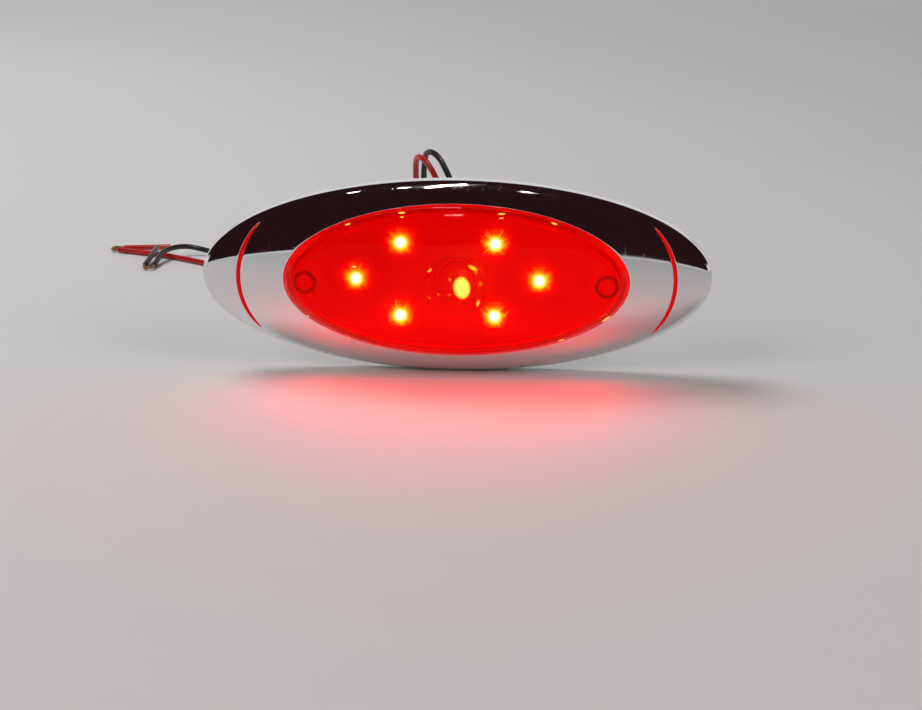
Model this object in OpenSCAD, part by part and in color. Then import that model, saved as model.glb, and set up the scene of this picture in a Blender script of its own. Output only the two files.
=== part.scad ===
// Oval LED tail light for a trailer, with a push-on chrome bezel.
// Millimetres. +X runs along the lamp, the lens faces -Y, +Z is up.
// The origin is the middle of the mounting face, halfway between the screw holes.

/* [Bezel] */
// Length of the bezel
bezel_len = 165; // [163:0.5:170]
// Height of the bezel
bezel_h = 63.5; // [62.5:0.5:68]
// Depth of the bezel's straight skirt
skirt_d = 4; // [3.8:0.1:4.5]
// Height of the crown in front of the skirt
crown_d = 9.5; // [9:0.1:10.5]
// Wall thickness of the bezel
bezel_wall = 2; // [1.6:0.1:2.1]
// Clearance between the bezel's back edge and the mounting face
bezel_gap = 0.5; // [0.2:0.1:1]

/* [Light slots] */
// Distance from the middle of the lamp to the middle of a slot
slot_mid_x = 70.5; // [70:0.1:72]
// Distance from the middle of the lamp to the ends of a slot
slot_tip_x = 63.4; // [63:0.1:64]
// Half the height of a slot
slot_half_h = 17.7; // [16:0.1:17.7]
// Width of a slot
slot_w = 1.1; // [1:0.1:1.6]
// Clearance between a light rib and its slot
rib_gap = 0.2; // [0.15:0.05:0.25]

/* [Lens] */
// Length of the window in the bezel
window_len = 111; // [110:0.2:114]
// Height of the window in the bezel
window_h = 49.8; // [49:0.2:51]
// Clearance between the lens and the window
lens_gap = 0.3; // [0.2:0.05:0.4]
// Wall thickness of the lens
lens_wall = 2; // [1.8:0.1:2.4]
// Front of the lens above the mounting face
lens_top = 18.2; // [18:0.1:20]
// Thickness of the lens flange
flange_t = 1.8; // [1.5:0.1:1.9]

/* [Mounting] */
// Distance between the two mounting screws
screw_spacing = 127; // [126:0.5:128]
// Diameter of a mounting screw hole
screw_hole_d = 4.4; // [4:0.1:5]
// Diameter of the access hole for a screw head
screw_access_d = 10.4; // [9:0.1:10.6]
// Thickness of the mounting gasket
gasket_t = 1.5; // [1.2:0.1:1.7]
// Diameter of the collar around the leads
collar_d = 16; // [14:0.5:17]
// Length of the collar behind the mounting face
collar_len = 6; // [4:0.5:10]

/* [Lights] */
// Width of an LED's square body
led_w = 7.6; // [7:0.1:8]
// Diameter of an LED's dome
led_dome_d = 4.8; // [4:0.1:5]
// Sideways shift of the six outer LEDs
led_shift = -2.8; // [-3:0.1:-2]
// Half the distance between the two LEDs of the upper or lower row
led_row_x = 15.2; // [14:0.1:16]
// Half the distance between the two LEDs of the middle row
led_mid_x = 29.5; // [28:0.1:30]
// Height of the upper row over the middle one
led_row_y = 12; // [11:0.1:12.5]

/* [Leads] */
// Diameter of a lead over its insulation
lead_d = 2; // [1.6:0.1:2]
// Diameter of its bare strands
strand_d = 1.2; // [0.8:0.1:1.4]
// Radius of the fold at a stripped end
fold_r = 1.8; // [1.5:0.1:2.5]
// Length of the insulation left past the fold
end_len = 18; // [10:1:19]

/* [Hidden] */
$fn = 96;
slack = 1;              // how far a cutting shape runs past what it cuts

// heights above the mounting face, on the bench
plate_top = 3.5;        // front of the base's plate
flange_z = 3.6;         // back of the lens flange, which lies on the seal
flange_top = flange_z + flange_t;
floor_back = 0.2;       // back of the base's pan
floor_top = 1.8;        // front of the pan's floor
spigot_top = 5.4;       // front of the rim that centres the lens
board_z = 4.2;          // back of the circuit board
board_t = 1.6;
board_top = board_z + board_t;

// the sealed unit under the bezel
unit_len = bezel_len - 10;
unit_h = bezel_h - 7.9;
lens_len = window_len - 2 * lens_gap;
lens_h = window_h - 2 * lens_gap;
pan_len = lens_len - 7.4;
pan_h = lens_h - 7.4;
pan_wall = 2;

// the lens front: a shallow dome, whose edge a second and tighter ellipsoid rolls over
dome_len = 200;
dome_h = 92;
roll_z = 8.9;
roll_top = 15.6;
roll_len_over = 2.8;    // how much longer the rolling ellipsoid is than the lens
roll_h_over = 1.2;

grip_w = 2;             // the ribs inside the bezel's skirt
grip_gap = 0.2;
grip_x = 30;
screw_pad_r = 6;
web_w = 3;              // the webs between the pan and the screw pads
web_x = pan_len / 2 + 4;
mark_r = 3;             // moulding marks on the back of the pan
mark_x = 30;
mark_y = 9;
mark_t = 0.2;
boss_x = 48.3;          // tubular bosses of the lens
boss_r = 3.9;
boss_bore_r = 2.5;
pin_r = 2.4;            // the base's pins inside them
pin_top = 10;
board_end_x = 43.7;
board_screw_x = 40.6;
board_screw_r = 1.05;
pilot_r = 1.1;
prop_y = 17.5;          // plain props under the board's long edges
prop_r = 1.6;
optic_r = 10;

lead_x = 1.8;           // the leads leave side by side
lead_z = 6;             // and a little above the middle
grommet_r = 4.9;
grommet_flange_r = 6.6;
grommet_flange_t = 1.5;
grommet_back = -collar_len - grommet_flange_t;

led_pins = 2.54;        // half the pitch of an LED's legs
solder_r = 1;
solder_h = 1.2;

ground_z = -bezel_h / 2;                   // what the lamp's lower edge touches
lie_z = ground_z + lead_d / 2 + 0.05;      // the middle of a lead that lies there
over_z = lie_z + lead_d + 0.4;             // and of one that crosses another lead
lead_sides = 8;
bare_len = 2;           // bare strands on each side of the fold

LEDS = [[led_shift - led_row_x, led_row_y], [led_shift + led_row_x, led_row_y],
        [led_shift - led_mid_x, 0], [led_shift + led_mid_x, 0],
        [led_shift - led_row_x, -led_row_y], [led_shift + led_row_x, -led_row_y], [0, 0]];

RESISTORS = [[-27, 9], [22, 9], [22, -9]];

// the leads' routes behind the lamp: up out of the grommet, over in a small loop, down and away
RED_ROUTE = [
    [-lead_x, -grommet_back, lead_z], [-lead_x, 11.5, lead_z + 0.2], [-2.6, 16.5, 9.2],
    [-4.4, 20.5, 16.5], [-7.2, 23, 24.2], [-11.2, 26.5, 30.4], [-14.6, 31.6, 31.2],
    [-15.4, 36, 25.4], [-15.2, 39.5, 16], [-15.6, 43, 5], [-17.2, 47, -7], [-21, 52, -18.5],
    [-27.5, 59, lie_z + 3.5], [-37, 68, lie_z + 0.4], [-50, 80, lie_z], [-65.5, 94, lie_z],
    [-82, 108.5, lie_z], [-99, 122, lie_z], [-116.5, 133, lie_z], [-135, 140, lie_z]];
BLACK_ROUTE = [
    [lead_x, -grommet_back, lead_z], [lead_x, 11.5, lead_z + 0.2], [1.3, 16.5, 10],
    [-0.6, 20, 18.2], [-3.6, 23.4, 26.2], [-7.6, 28, 32.2], [-11.4, 33.6, 32.4],
    [-12.7, 38.2, 26.2], [-13, 41.8, 16], [-13.6, 45.5, 5], [-15.2, 49.8, -7], [-18.6, 55.5, -18.5],
    [-24.6, 63.5, lie_z + 3.5], [-34, 75, lie_z + 0.4], [-47, 91, lie_z], [-62, 107.5, lie_z],
    [-79, 124, lie_z], [-95.5, 135.5, lie_z + 0.3], [-108.5, 138, over_z - 0.1],
    [-116, 130, over_z], [-118, 118, lie_z]];

// ---- shapes that several pieces use ----

// The bench has the lamp on its back; this stands it up with the lens to the front.
module upright() {
    rotate([90, 0, 0])
        children();
}

module oval(len, high) {
    scale([len / 2, high / 2])
        circle(r = 1);
}

module oval_slab(len, high, from, to) {
    translate([0, 0, from])
        linear_extrude(to - from)
            oval(len, high);
}

module egg(len, high, deep, at) {
    translate([0, 0, at])
        scale([len / 2, high / 2, deep])
            sphere(r = 1);
}

module disc(r, from, to) {
    translate([0, 0, from])
        cylinder(r = r, h = to - from);
}

module both_ends(x) {
    for (side = [-1, 1])
        translate([side * x, 0, 0])
            children();
}

// centre of the circle through (mid, 0) and (tip, +-half)
function arc_centre(mid, tip, half) = (mid * mid - tip * tip - half * half) / (2 * (mid - tip));

// a curved band standing at +X, convex outwards, with round ends
module band(width, half) {
    centre = arc_centre(slot_mid_x, slot_tip_x, slot_half_h);
    r = slot_mid_x - centre;
    turn = asin((half - width / 2) / r);
    reach = 1.5 * r;
    translate([centre, 0]) {
        intersection() {
            difference() {
                circle(r = r + width / 2);
                circle(r = r - width / 2);
            }
            polygon([[0, 0], reach * [cos(turn), -sin(turn)], reach * [cos(turn), sin(turn)]]);
        }
        for (side = [-1, 1])
            rotate([0, 0, side * turn])
                translate([r, 0])
                    circle(r = width / 2);
    }
}

module at_both_slots() {
    for (turn = [0, 180])
        rotate([0, 0, turn])
            children();
}

// ---- the sealed unit and its bezel ----

module bezel_skin(inset) {
    oval_slab(bezel_len - 2 * inset, bezel_h - 2 * inset, bezel_gap - inset, skirt_d);
    intersection() {
        egg(bezel_len - 2 * inset, bezel_h - 2 * inset, crown_d - inset, skirt_d);
        oval_slab(bezel_len, bezel_h, skirt_d, skirt_d + crown_d);
    }
}

// a rib inside the skirt, which grips the edge of the sealed unit; at_x picks its place
module grip_rib(at_x) {
    edge = unit_h / 2 * sqrt(1 - pow((abs(at_x) - grip_w / 2) / (unit_len / 2), 2));
    intersection() {
        translate([at_x - grip_w / 2, edge + grip_gap, bezel_gap])
            cube([grip_w, bezel_h, skirt_d - bezel_gap]);
        oval_slab(bezel_len - bezel_wall, bezel_h - bezel_wall, 0, skirt_d);
    }
}

module end_grip_rib() {
    intersection() {
        translate([unit_len / 2 + grip_gap, -grip_w / 2, bezel_gap])
            cube([bezel_len, grip_w, skirt_d - bezel_gap]);
        oval_slab(bezel_len - bezel_wall, bezel_h - bezel_wall, 0, skirt_d);
    }
}

module chrome_bezel() {
    color("silver")
        upright() {
            bezel_shell();
            for (turn = [0, 180])
                rotate([0, 0, turn]) {
                    end_grip_rib();
                    for (at_x = [-grip_x, 0, grip_x])
                        grip_rib(at_x);
                }
        }
}

module bezel_shell() {
    difference() {
        bezel_skin(0);
        bezel_skin(bezel_wall);
        oval_slab(window_len, window_h, skirt_d, skirt_d + crown_d + slack);
        at_both_slots()
            translate([0, 0, skirt_d])
                linear_extrude(crown_d)
                    band(slot_w, slot_half_h);
    }
}

// straight walls up to the middle of the rolling ellipsoid, and the two domes above it
module lens_front(inset) {
    oval_slab(lens_len - 2 * inset, lens_h - 2 * inset, flange_z - inset, roll_z);
    intersection() {
        oval_slab(lens_len - 2 * inset, lens_h - 2 * inset, roll_z, lens_top);
        egg(dome_len - 2 * inset, dome_h - 2 * inset, lens_top - inset, 0);
        egg(lens_len + roll_len_over - 2 * inset, lens_h + roll_h_over - 2 * inset,
            roll_top - inset, roll_z);
    }
}

module light_rib() {
    intersection() {
        translate([0, 0, flange_top - 0.5])
            linear_extrude(crown_d)
                band(slot_w - 2 * rib_gap, slot_half_h - rib_gap);
        egg(bezel_len, bezel_h, crown_d, skirt_d);
    }
}

module lens() {
    color("red")
        upright() {
            difference() {
                union() {
                    lens_front(0);
                    oval_slab(unit_len, unit_h, flange_z, flange_top);
                    at_both_slots()
                        light_rib();
                }
                lens_front(lens_wall);
                both_ends(screw_spacing / 2)
                    disc(screw_access_d / 2, flange_z - slack, flange_top + slack);
            }
            intersection() {
                both_ends(boss_x)
                    difference() {
                        disc(boss_r, board_top + 0.4, lens_top);
                        disc(boss_bore_r, board_top, lens_top - 4.5);
                    }
                lens_front(0.5);
            }
        }
}

module center_optic() {
    color("mistyrose")
        upright()
            rotate_extrude()
                polygon([[5.6, board_top], [6.8, board_top], [6.8, 8], [optic_r, 13.4], [optic_r, 14.6],
                         [optic_r - 2, 15.2], [optic_r / 2, 15.8], [0, 16], [0, 12.6], [1.8, 12.2],
                         [3.2, 11], [5.6, 8.8]]);
}

module seal_ring(gap) {
    difference() {
        oval_slab(lens_len + 1.5 + gap, lens_h + 1.5 + gap, plate_top - 0.9, flange_z);
        oval_slab(lens_len - 1.3 - gap, lens_h - 1.3 - gap, plate_top - slack, flange_z + slack);
    }
}

module lens_seal() {
    color("dimgray")
        upright()
            seal_ring(0);
}

module mounting_gasket() {
    color("darkslategray")
        upright()
            difference() {
                oval_slab(unit_len - 1.4, unit_h - 1.2, 0, gasket_t);
                oval_slab(unit_len - 13, unit_h - 8.4, -slack, gasket_t + slack);
            }
}

module base_shell() {
    difference() {
        union() {
            oval_slab(unit_len, unit_h, gasket_t, plate_top);
            oval_slab(pan_len + 2 * pan_wall, pan_h + 2 * pan_wall, floor_back, plate_top);
            oval_slab(pan_len + 2 * pan_wall - 1.2, pan_h + 2 * pan_wall - 1.2,
                      plate_top - slack, spigot_top);
        }
        oval_slab(pan_len, pan_h, floor_top, spigot_top + slack);
    }
}

module base_posts() {
    root = floor_top - slack / 2;
    both_ends(board_screw_x)
        disc(2.6, root, board_z);
    both_ends(boss_x) {
        disc(boss_r, root, board_top);
        disc(pin_r, root, pin_top);
    }
    for (side = [-1, 1])
        translate([0, side * prop_y, 0])
            disc(prop_r, root, board_z);
}

// the collar that goes through the vehicle's skin, with a sloped foot
module collar() {
    translate([0, lead_z, 0]) {
        disc(collar_d / 2, -collar_len, floor_back + slack);
        translate([0, 0, floor_back - 0.8])
            cylinder(r1 = collar_d / 2, r2 = collar_d / 2 + 1, h = 1);
    }
}

module base_housing() {
    color("gray")
        upright()
            difference() {
                union() {
                    base_shell();
                    base_posts();
                    both_ends(screw_spacing / 2)
                        disc(screw_pad_r, 0, plate_top);
                    both_ends(web_x)
                        translate([-web_w, -web_w / 2, floor_back])
                            cube([2 * web_w, web_w, gasket_t]);
                    collar();
                }
                for (x = [-mark_x, mark_x])
                    for (y = [-mark_y, mark_y])
                        translate([x, y, 0])
                            disc(mark_r, -slack, floor_back + mark_t);
                seal_ring(0.1);
                both_ends(screw_spacing / 2)
                    disc(screw_hole_d / 2, -slack, plate_top + slack);
                both_ends(board_screw_x)
                    disc(pilot_r, 0.8, board_z + slack);
                translate([0, lead_z, 0])
                    disc(grommet_r + 0.1, -collar_len - slack, floor_top + slack);
            }
}

// ---- what is on the board ----

module circuit_board() {
    color("darkred")
        upright()
            difference() {
                intersection() {
                    oval_slab(pan_len - 0.8, pan_h - 0.8, board_z, board_top);
                    translate([-board_end_x, -pan_h, 0])
                        cube([2 * board_end_x, 2 * pan_h, board_top + slack]);
                }
                both_ends(board_screw_x)
                    disc(board_screw_r + 0.15, board_z - slack, board_top + slack);
            }
}

module led(k) {
    dome_r = led_dome_d / 2;
    body_t = 2.6;
    neck_t = 0.8;
    color("ivory")
        upright()
            translate([LEDS[k][0], LEDS[k][1], board_top]) {
                difference() {
                    translate([-led_w / 2, -led_w / 2, 0])
                        cube([led_w, led_w, body_t]);
                    translate([led_w / 2, led_w / 2, body_t / 2])
                        rotate([0, 0, 45])
                            cube([1.6, 4, body_t + slack], center = true);
                }
                disc(dome_r, body_t, body_t + neck_t);
                translate([0, 0, body_t + neck_t])
                    sphere(r = dome_r);
            }
}

module solder_cone(r) {
    translate([0, 0, board_z - solder_h])
        cylinder(r1 = 0.4 * r, r2 = r, h = solder_h);
}

module led_solder() {
    color("lightgray")
        upright()
            for (at = LEDS)
                for (dx = [-led_pins, led_pins])
                    for (dy = [-led_pins, led_pins])
                        translate([at[0] + dx, at[1] + dy, 0])
                            solder_cone(solder_r);
}

// a flat chip on the back of the board, with a metal cap over each end
module chip(len, wide, thick, x, y) {
    cap = 0.15;
    upright()
        translate([x, y, board_z]) {
            translate([-len / 2, -wide / 2, -thick])
                cube([len, wide, thick - cap]);
            for (side = [-1, 1])
                translate([side * (len - 1) / 2 - 0.5 - cap, -wide / 2 - cap, -thick - cap])
                    cube([1 + 2 * cap, wide + 2 * cap, thick + cap]);
        }
}

module resistor(k) {
    color("dimgray")
        chip(6.4, 3.2, 0.8, RESISTORS[k][0], RESISTORS[k][1]);
}

module rectifier_diode() {
    color("black")
        chip(4.6, 2.6, 2, -27, -9);
}

module board_screws() {
    head_r = 2.1;
    head_t = 1.3;
    color("silver")
        upright()
            both_ends(board_screw_x)
                difference() {
                    union() {
                        disc(board_screw_r, 1, board_top + head_t / 2);
                        disc(head_r, board_top, board_top + head_t);
                    }
                    for (turn = [0, 90])
                        translate([0, 0, board_top + head_t])
                            rotate([0, 0, turn])
                                cube([2.6, 0.6, 1.4], center = true);
                }
}

// ---- where the leads come out ----

module lead_pair(r, from, to) {
    both_ends(lead_x)
        translate([0, lead_z, 0])
            disc(r, from, to);
}

module lead_solder() {
    color("lightgray")
        upright()
            difference() {
                both_ends(lead_x)
                    translate([0, lead_z, 0])
                        solder_cone(1.7);
                lead_pair(lead_d / 2, board_z - 2 * solder_h, board_z + slack);
            }
}

module potting() {
    color("black")
        upright()
            difference() {
                translate([0, lead_z, 0])
                    disc(8.2, floor_top, floor_top + 1);
                lead_pair(lead_d / 2, floor_top - slack, floor_top + 2);
            }
}

module wire_grommet() {
    color("black")
        upright()
            difference() {
                translate([0, lead_z, 0]) {
                    disc(grommet_r, -collar_len, floor_top);
                    disc(grommet_flange_r, grommet_back, -collar_len);
                }
                lead_pair(lead_d / 2, grommet_back - slack, floor_top + slack);
            }
}

module lead_inner(side) {
    upright()
        translate([side * lead_x, lead_z, 0])
            disc(lead_d / 2, grommet_back, board_z);
}

module red_lead_inner() {
    color("red")
        lead_inner(-1);
}

module black_lead_inner() {
    color("black")
        lead_inner(1);
}

// ---- the free leads ----

function unit(v) = v / norm(v);

// halfway along the smooth curve from b to c, whose neighbours are a and d
function halfway(a, b, c, d) = (9 * (b + c) - (a + d)) / 16;

// a route with a point put in halfway along each stretch
function smooth(route) =
    let (last = len(route) - 1)
    [for (i = [0:last - 1])
        each [route[i],
              halfway(route[max(i - 1, 0)], route[i], route[i + 1], route[min(i + 2, last)])],
     route[last]];

function heading(path, i) = unit(path[min(i + 1, len(path) - 1)] - path[max(i - 1, 0)]);

// the sideways vector nearest to v that is square to t
function square_to(v, t) = unit(v - (v * t) * t);

// one sideways vector per ring, carried along so that the tube never twists
function side_vectors(path) =
    [for (i = 0, v = square_to([1, 0, 0], heading(path, 0));
          i < len(path);
          i = i + 1, v = square_to(v, heading(path, min(i, len(path) - 1)))) v];

module tube(route, d) {
    path = smooth(route);
    across = side_vectors(path);
    rings = len(path);
    n = lead_sides;
    points = [for (i = [0:rings - 1])
                  let (u = across[i], v = cross(heading(path, i), u))
                  for (k = [0:n - 1])
                      path[i] + d / 2 * (cos(360 * k / n) * u + sin(360 * k / n) * v)];
    skin = [for (i = [0:rings - 2])
                for (k = [0:n - 1])
                    [i * n + k, (i + 1) * n + k, (i + 1) * n + (k + 1) % n, i * n + (k + 1) % n]];
    polyhedron(points, concat(skin,
                              [[for (k = [0:n - 1]) k]],
                              [[for (k = [n - 1:-1:0]) (rings - 1) * n + k]]));
}

// stands its children at a route's end, turned to the way the lead points there;
// the fold then goes to the left of a lead laid towards -X
module at_end(route) {
    path = smooth(route);
    last = len(path) - 1;
    way = path[last] - path[last - 1];
    translate(path[last])
        rotate([0, 0, atan2(way[1], way[0])])
            mirror([0, 1, 0])
                children();
}

module strands() {
    rotate([0, 90, 0])
        cylinder(r = strand_d / 2, h = bare_len);
    translate([bare_len, fold_r, 0])
        rotate([0, 0, -90])
            rotate_extrude(angle = 180)
                translate([fold_r, 0])
                    circle(r = strand_d / 2);
    translate([0, 2 * fold_r, 0])
        rotate([0, 90, 0])
            cylinder(r = strand_d / 2, h = bare_len);
}

// the short length of insulation past the fold, which rises and turns a little
module end_sleeve(rise, turn) {
    translate([0, 2 * fold_r, 0])
        rotate([0, 0, -turn])
            rotate([0, rise - 90, 0])
                cylinder(r = lead_d / 2, h = end_len);
}

module red_lead() {
    color("red")
        tube(RED_ROUTE, lead_d);
}

module red_strands() {
    color("peru")
        at_end(RED_ROUTE)
            strands();
}

module red_end() {
    color("red")
        at_end(RED_ROUTE)
            end_sleeve(1, 25);
}

module black_lead() {
    color("black")
        tube(BLACK_ROUTE, lead_d);
}

module black_strands() {
    color("peru")
        at_end(BLACK_ROUTE)
            strands();
}

module black_end() {
    color("black")
        at_end(BLACK_ROUTE)
            end_sleeve(8, 0);
}

chrome_bezel();
lens();
center_optic();
lens_seal();
base_housing();
mounting_gasket();
circuit_board();
led(0);  // led_1
led(1);  // led_2
led(2);  // led_3
led(3);  // led_4
led(4);  // led_5
led(5);  // led_6
led(6);  // led_center
led_solder();
resistor(0);  // resistor_1
resistor(1);  // resistor_2
resistor(2);  // resistor_3
rectifier_diode();
board_screws();
lead_solder();
potting();
wire_grommet();
red_lead_inner();
black_lead_inner();
red_lead();
red_strands();
red_end();
black_lead();
black_strands();
black_end();
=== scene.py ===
import math

import bmesh
import bpy
import numpy as np
from mathutils import Euler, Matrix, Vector


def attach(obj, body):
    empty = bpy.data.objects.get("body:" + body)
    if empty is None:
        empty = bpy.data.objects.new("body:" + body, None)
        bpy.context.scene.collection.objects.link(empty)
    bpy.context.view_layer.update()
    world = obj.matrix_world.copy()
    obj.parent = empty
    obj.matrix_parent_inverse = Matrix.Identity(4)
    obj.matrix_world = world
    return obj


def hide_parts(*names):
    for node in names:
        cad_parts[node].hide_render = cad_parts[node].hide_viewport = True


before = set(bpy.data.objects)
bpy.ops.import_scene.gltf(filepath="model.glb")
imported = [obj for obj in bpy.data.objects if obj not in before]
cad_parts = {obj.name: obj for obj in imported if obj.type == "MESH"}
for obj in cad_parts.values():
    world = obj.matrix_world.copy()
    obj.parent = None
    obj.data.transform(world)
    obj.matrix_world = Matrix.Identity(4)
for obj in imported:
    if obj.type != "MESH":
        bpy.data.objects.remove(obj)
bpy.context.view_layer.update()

mm = 0.001
mergeDistance = 1e-6
print("frame loaded:", len(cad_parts), "nodes")


# ---- small tools for meshes ----

# The lamp is drawn lying on its back: x along it, y up it, d forward from the mounting face, in
# millimetres. This stands it up in the frame, in metres: (x, -d, y).
def stand(x, y, d):
    x, y, d = np.broadcast_arrays(x, y, d)
    return np.stack([x, -d, y], -1) * mm


# Quads of a grid numbered row by row; a closed grid joins its last column to its first.
def gridFaces(rows, cols, closed):
    i = np.arange(rows - 1)[:, None]
    j = np.arange(cols if closed else cols - 1)[None, :]
    k = (j + 1) % cols
    quads = [i * cols + j, i * cols + k, (i + 1) * cols + k, (i + 1) * cols + j]
    return np.stack(np.broadcast_arrays(*quads), -1).reshape(-1, 4)


# A grid of points for makeMesh: whether it closes across, its material's number and its UVs, if it has any.
def grid(points, closed=False, number=0, uv=None):
    return dict(points=points, closed=closed, number=number, uv=uv)


# Angles of a whole turn, whose last point comes just before the first again, and of a quarter turn with
# both ends.
def wholeTurn(count):
    return np.linspace(0, 2 * np.pi, count, endpoint=False)


def quarterTurn(count):
    return np.linspace(0, np.pi / 2, count)


# The quadratic curve from a to c that bends towards b, for k from 0 to 1:
# (1 - k) squared times a, 2 k (1 - k) times b, and k squared times c.
def bend(a, b, c, k):
    return (1 - k) ** 2 * a + 2 * k * (1 - k) * b + k**2 * c


def addObject(name, data):
    piece = bpy.data.objects.new(name, data)
    bpy.context.scene.collection.objects.link(piece)
    return piece


# A mesh object from several grids. Doubles are merged, which closes seams and poles, and the faces are
# turned outwards.
def makeMesh(name, grids, materials, sharp=38):
    points, faces, numbers, uvs, start = [], [], [], [], 0
    for g in grids:
        rows, cols = g["points"].shape[:2]
        quads = gridFaces(rows, cols, g["closed"])
        points.append(g["points"].reshape(-1, 3))
        uvs.append(np.zeros((rows * cols, 2)) if g["uv"] is None else g["uv"].reshape(-1, 2))
        faces.append(quads + start)
        numbers.append(np.full(len(quads), g["number"]))
        start += rows * cols
    points, faces = np.concatenate(points), np.concatenate(faces)
    uvs, numbers = np.concatenate(uvs), np.concatenate(numbers)
    mesh = bpy.data.meshes.new(name)
    mesh.from_pydata(points.tolist(), [], faces.tolist())
    mesh.uv_layers.new(name="UVMap")
    mesh.uv_layers[0].data.foreach_set("uv", uvs[faces.ravel()].astype(np.float32).ravel())
    mesh.polygons.foreach_set("material_index", numbers.astype(np.int32))
    for material in materials:
        mesh.materials.append(material)
    tidyMesh(mesh, sharp)
    return addObject(name, mesh)


# Merges a mesh's doubles, drops faces without area, turns the faces outwards and smooths all but its sharp
# edges.
def tidyMesh(mesh, sharp):
    work = bmesh.new()
    work.from_mesh(mesh)
    bmesh.ops.remove_doubles(work, verts=work.verts, dist=mergeDistance)
    bmesh.ops.dissolve_degenerate(work, edges=work.edges, dist=mergeDistance * 0.5)
    bmesh.ops.recalc_face_normals(work, faces=work.faces)
    work.to_mesh(mesh)
    work.free()
    mesh.polygons.foreach_set("use_smooth", np.ones(len(mesh.polygons), bool))
    mesh.set_sharp_from_angle(angle=math.radians(sharp))


# Puts a finished piece on its body and hides the CAD node that it stands for; the slot is not used.
def place(piece, slot, node=None, body="lamp"):
    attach(piece, body)
    if node:
        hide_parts(node)
    return piece


# A profile of (r, d) points turned once round the lamp's axis at (atX, atY).
def turned(profile, atX, atY, around=96, number=0):
    profile = np.array(profile, float)
    turn = wholeTurn(around)[None, :]
    r, d = profile[:, 0:1], profile[:, 1:2]
    return grid(stand(atX + r * np.cos(turn), atY + r * np.sin(turn), d + 0 * turn), True, number)


# A profile with each inner corner cut back by radius and replaced by a quadratic curve through steps
# points.
def rounded(profile, radius, steps=5):
    p = np.array(profile, float)
    s = np.linspace(0, 1, steps)[None, :, None]
    a, b, c = p[:-2], p[1:-1], p[2:]
    toA, toC = a - b, c - b
    lenA = np.linalg.norm(toA, axis=1, keepdims=True)
    lenC = np.linalg.norm(toC, axis=1, keepdims=True)
    cut = np.minimum(radius, 0.45 * np.minimum(lenA, lenC))
    start, end = (b + toA / lenA * cut)[:, None], (b + toC / lenC * cut)[:, None]
    curve = bend(start, b[:, None], end, s)
    return np.concatenate([p[:1], curve.reshape(-1, p.shape[1]), p[-1:]])


# The outline of a rectangle with rounded corners: a quarter circle in each corner.
def roundedRect(halfX, halfY, radius, steps=5):
    corner = np.array([0, 1, 2, 3])[:, None] * np.pi / 2
    turn = (corner + quarterTurn(steps)[None, :]).ravel()
    signX = np.repeat([1, -1, -1, 1], steps)
    signY = np.repeat([1, 1, -1, -1], steps)
    return np.stack([signX * (halfX - radius) + radius * np.cos(turn),
                     signY * (halfY - radius) + radius * np.sin(turn)], -1)


# A block with all its edges rounded: a rounded rectangle carried from low to high, drawn in at both ends
# by a quarter circle of the edge's radius, and closed at its middle.
def block(atX, atY, halfX, halfY, low, high, radius):
    quarter = quarterTurn(5)
    draw = np.concatenate([radius * (1 - np.sin(quarter)), radius * (1 - np.cos(quarter))])
    d = np.concatenate([low + radius * (1 - np.cos(quarter)), high - radius * (1 - np.sin(quarter))])
    rings = [roundedRect(halfX - c, halfY - c, max(radius * 1.2 - c, 0.02)) for c in draw]
    middle = np.zeros_like(rings[0])
    rings = np.stack([middle] + rings + [middle])
    d = np.concatenate([[low], d, [high]])[:, None]
    return grid(stand(atX + rings[..., 0], atY + rings[..., 1], d), True)


# ---- camera ----

cameraView = dict(distance=0.8, elevation=15.0, azimuth=1.9, lens=95.9, sensor=36.0, lower=1.9238,
                  aside=-0.105, roll=0.45)


# The camera stands on the line that rises by elevation from the middle of the mounting face, turned by
# azimuth towards +X, and looks lower than the middle by the angle lower, so that the lamp shows above the
# picture's middle.
def makeCamera(s):
    camera = addObject("camera", bpy.data.cameras.new("camera"))
    rise, turn = math.radians(s["elevation"]), math.radians(s["azimuth"])
    flat = s["distance"] * math.cos(rise)
    camera.location = (flat * math.sin(turn), -flat * math.cos(turn), s["distance"] * math.sin(rise))
    down, aside = rise + math.radians(s["lower"]), math.radians(s["aside"])
    look = Euler((math.pi / 2 - down, 0, turn + aside)).to_matrix()
    roll = Euler((0, 0, math.radians(s["roll"]))).to_matrix()
    camera.rotation_euler = (look @ roll).to_euler()
    camera.data.lens, camera.data.sensor_width = s["lens"], s["sensor"]
    camera.data.clip_start, camera.data.clip_end = 0.01, 50
    bpy.context.scene.camera = camera


makeCamera(cameraView)
bpy.context.scene.view_settings.view_transform = "Standard"
print("camera placed")


# ---- materials ----

# Sets an input, or links it when the value is a socket.
def giveInput(tree, socket, value):
    if isinstance(value, bpy.types.NodeSocket):
        tree.links.new(value, socket)
    else:
        socket.default_value = value


# Adds a shader node, sets its properties, and sets or links its inputs.
def addNode(tree, kind, props=None, inputs=None):
    node = tree.nodes.new("ShaderNode" + kind)
    for key, value in (props or {}).items():
        setattr(node, key, value)
    for key, value in (inputs or {}).items():
        giveInput(tree, node.inputs[key], value)
    return node


# Gives a function that adds one step of arithmetic on a and b; those that follow are named after what they
# do.
def maths(operation):
    return lambda tree, a, b=0.0: addNode(tree, "Math", dict(operation=operation), {0: a, 1: b}).outputs[0]


times, plus, minus, over = maths("MULTIPLY"), maths("ADD"), maths("SUBTRACT"), maths("DIVIDE")
largest, smallest, root, absolute = maths("MAXIMUM"), maths("MINIMUM"), maths("SQRT"), maths("ABSOLUTE")


# a squared and b squared, added.
def sumOfSquares(tree, a, b):
    return plus(tree, times(tree, a, a), times(tree, b, b))


# The same for vectors; LENGTH gives a number.
def vectors(tree, operation, a, b=(0.0, 0.0, 0.0)):
    node = addNode(tree, "VectorMath", dict(operation=operation), {0: a, 1: b})
    return node.outputs["Value" if operation == "LENGTH" else "Vector"]


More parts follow.
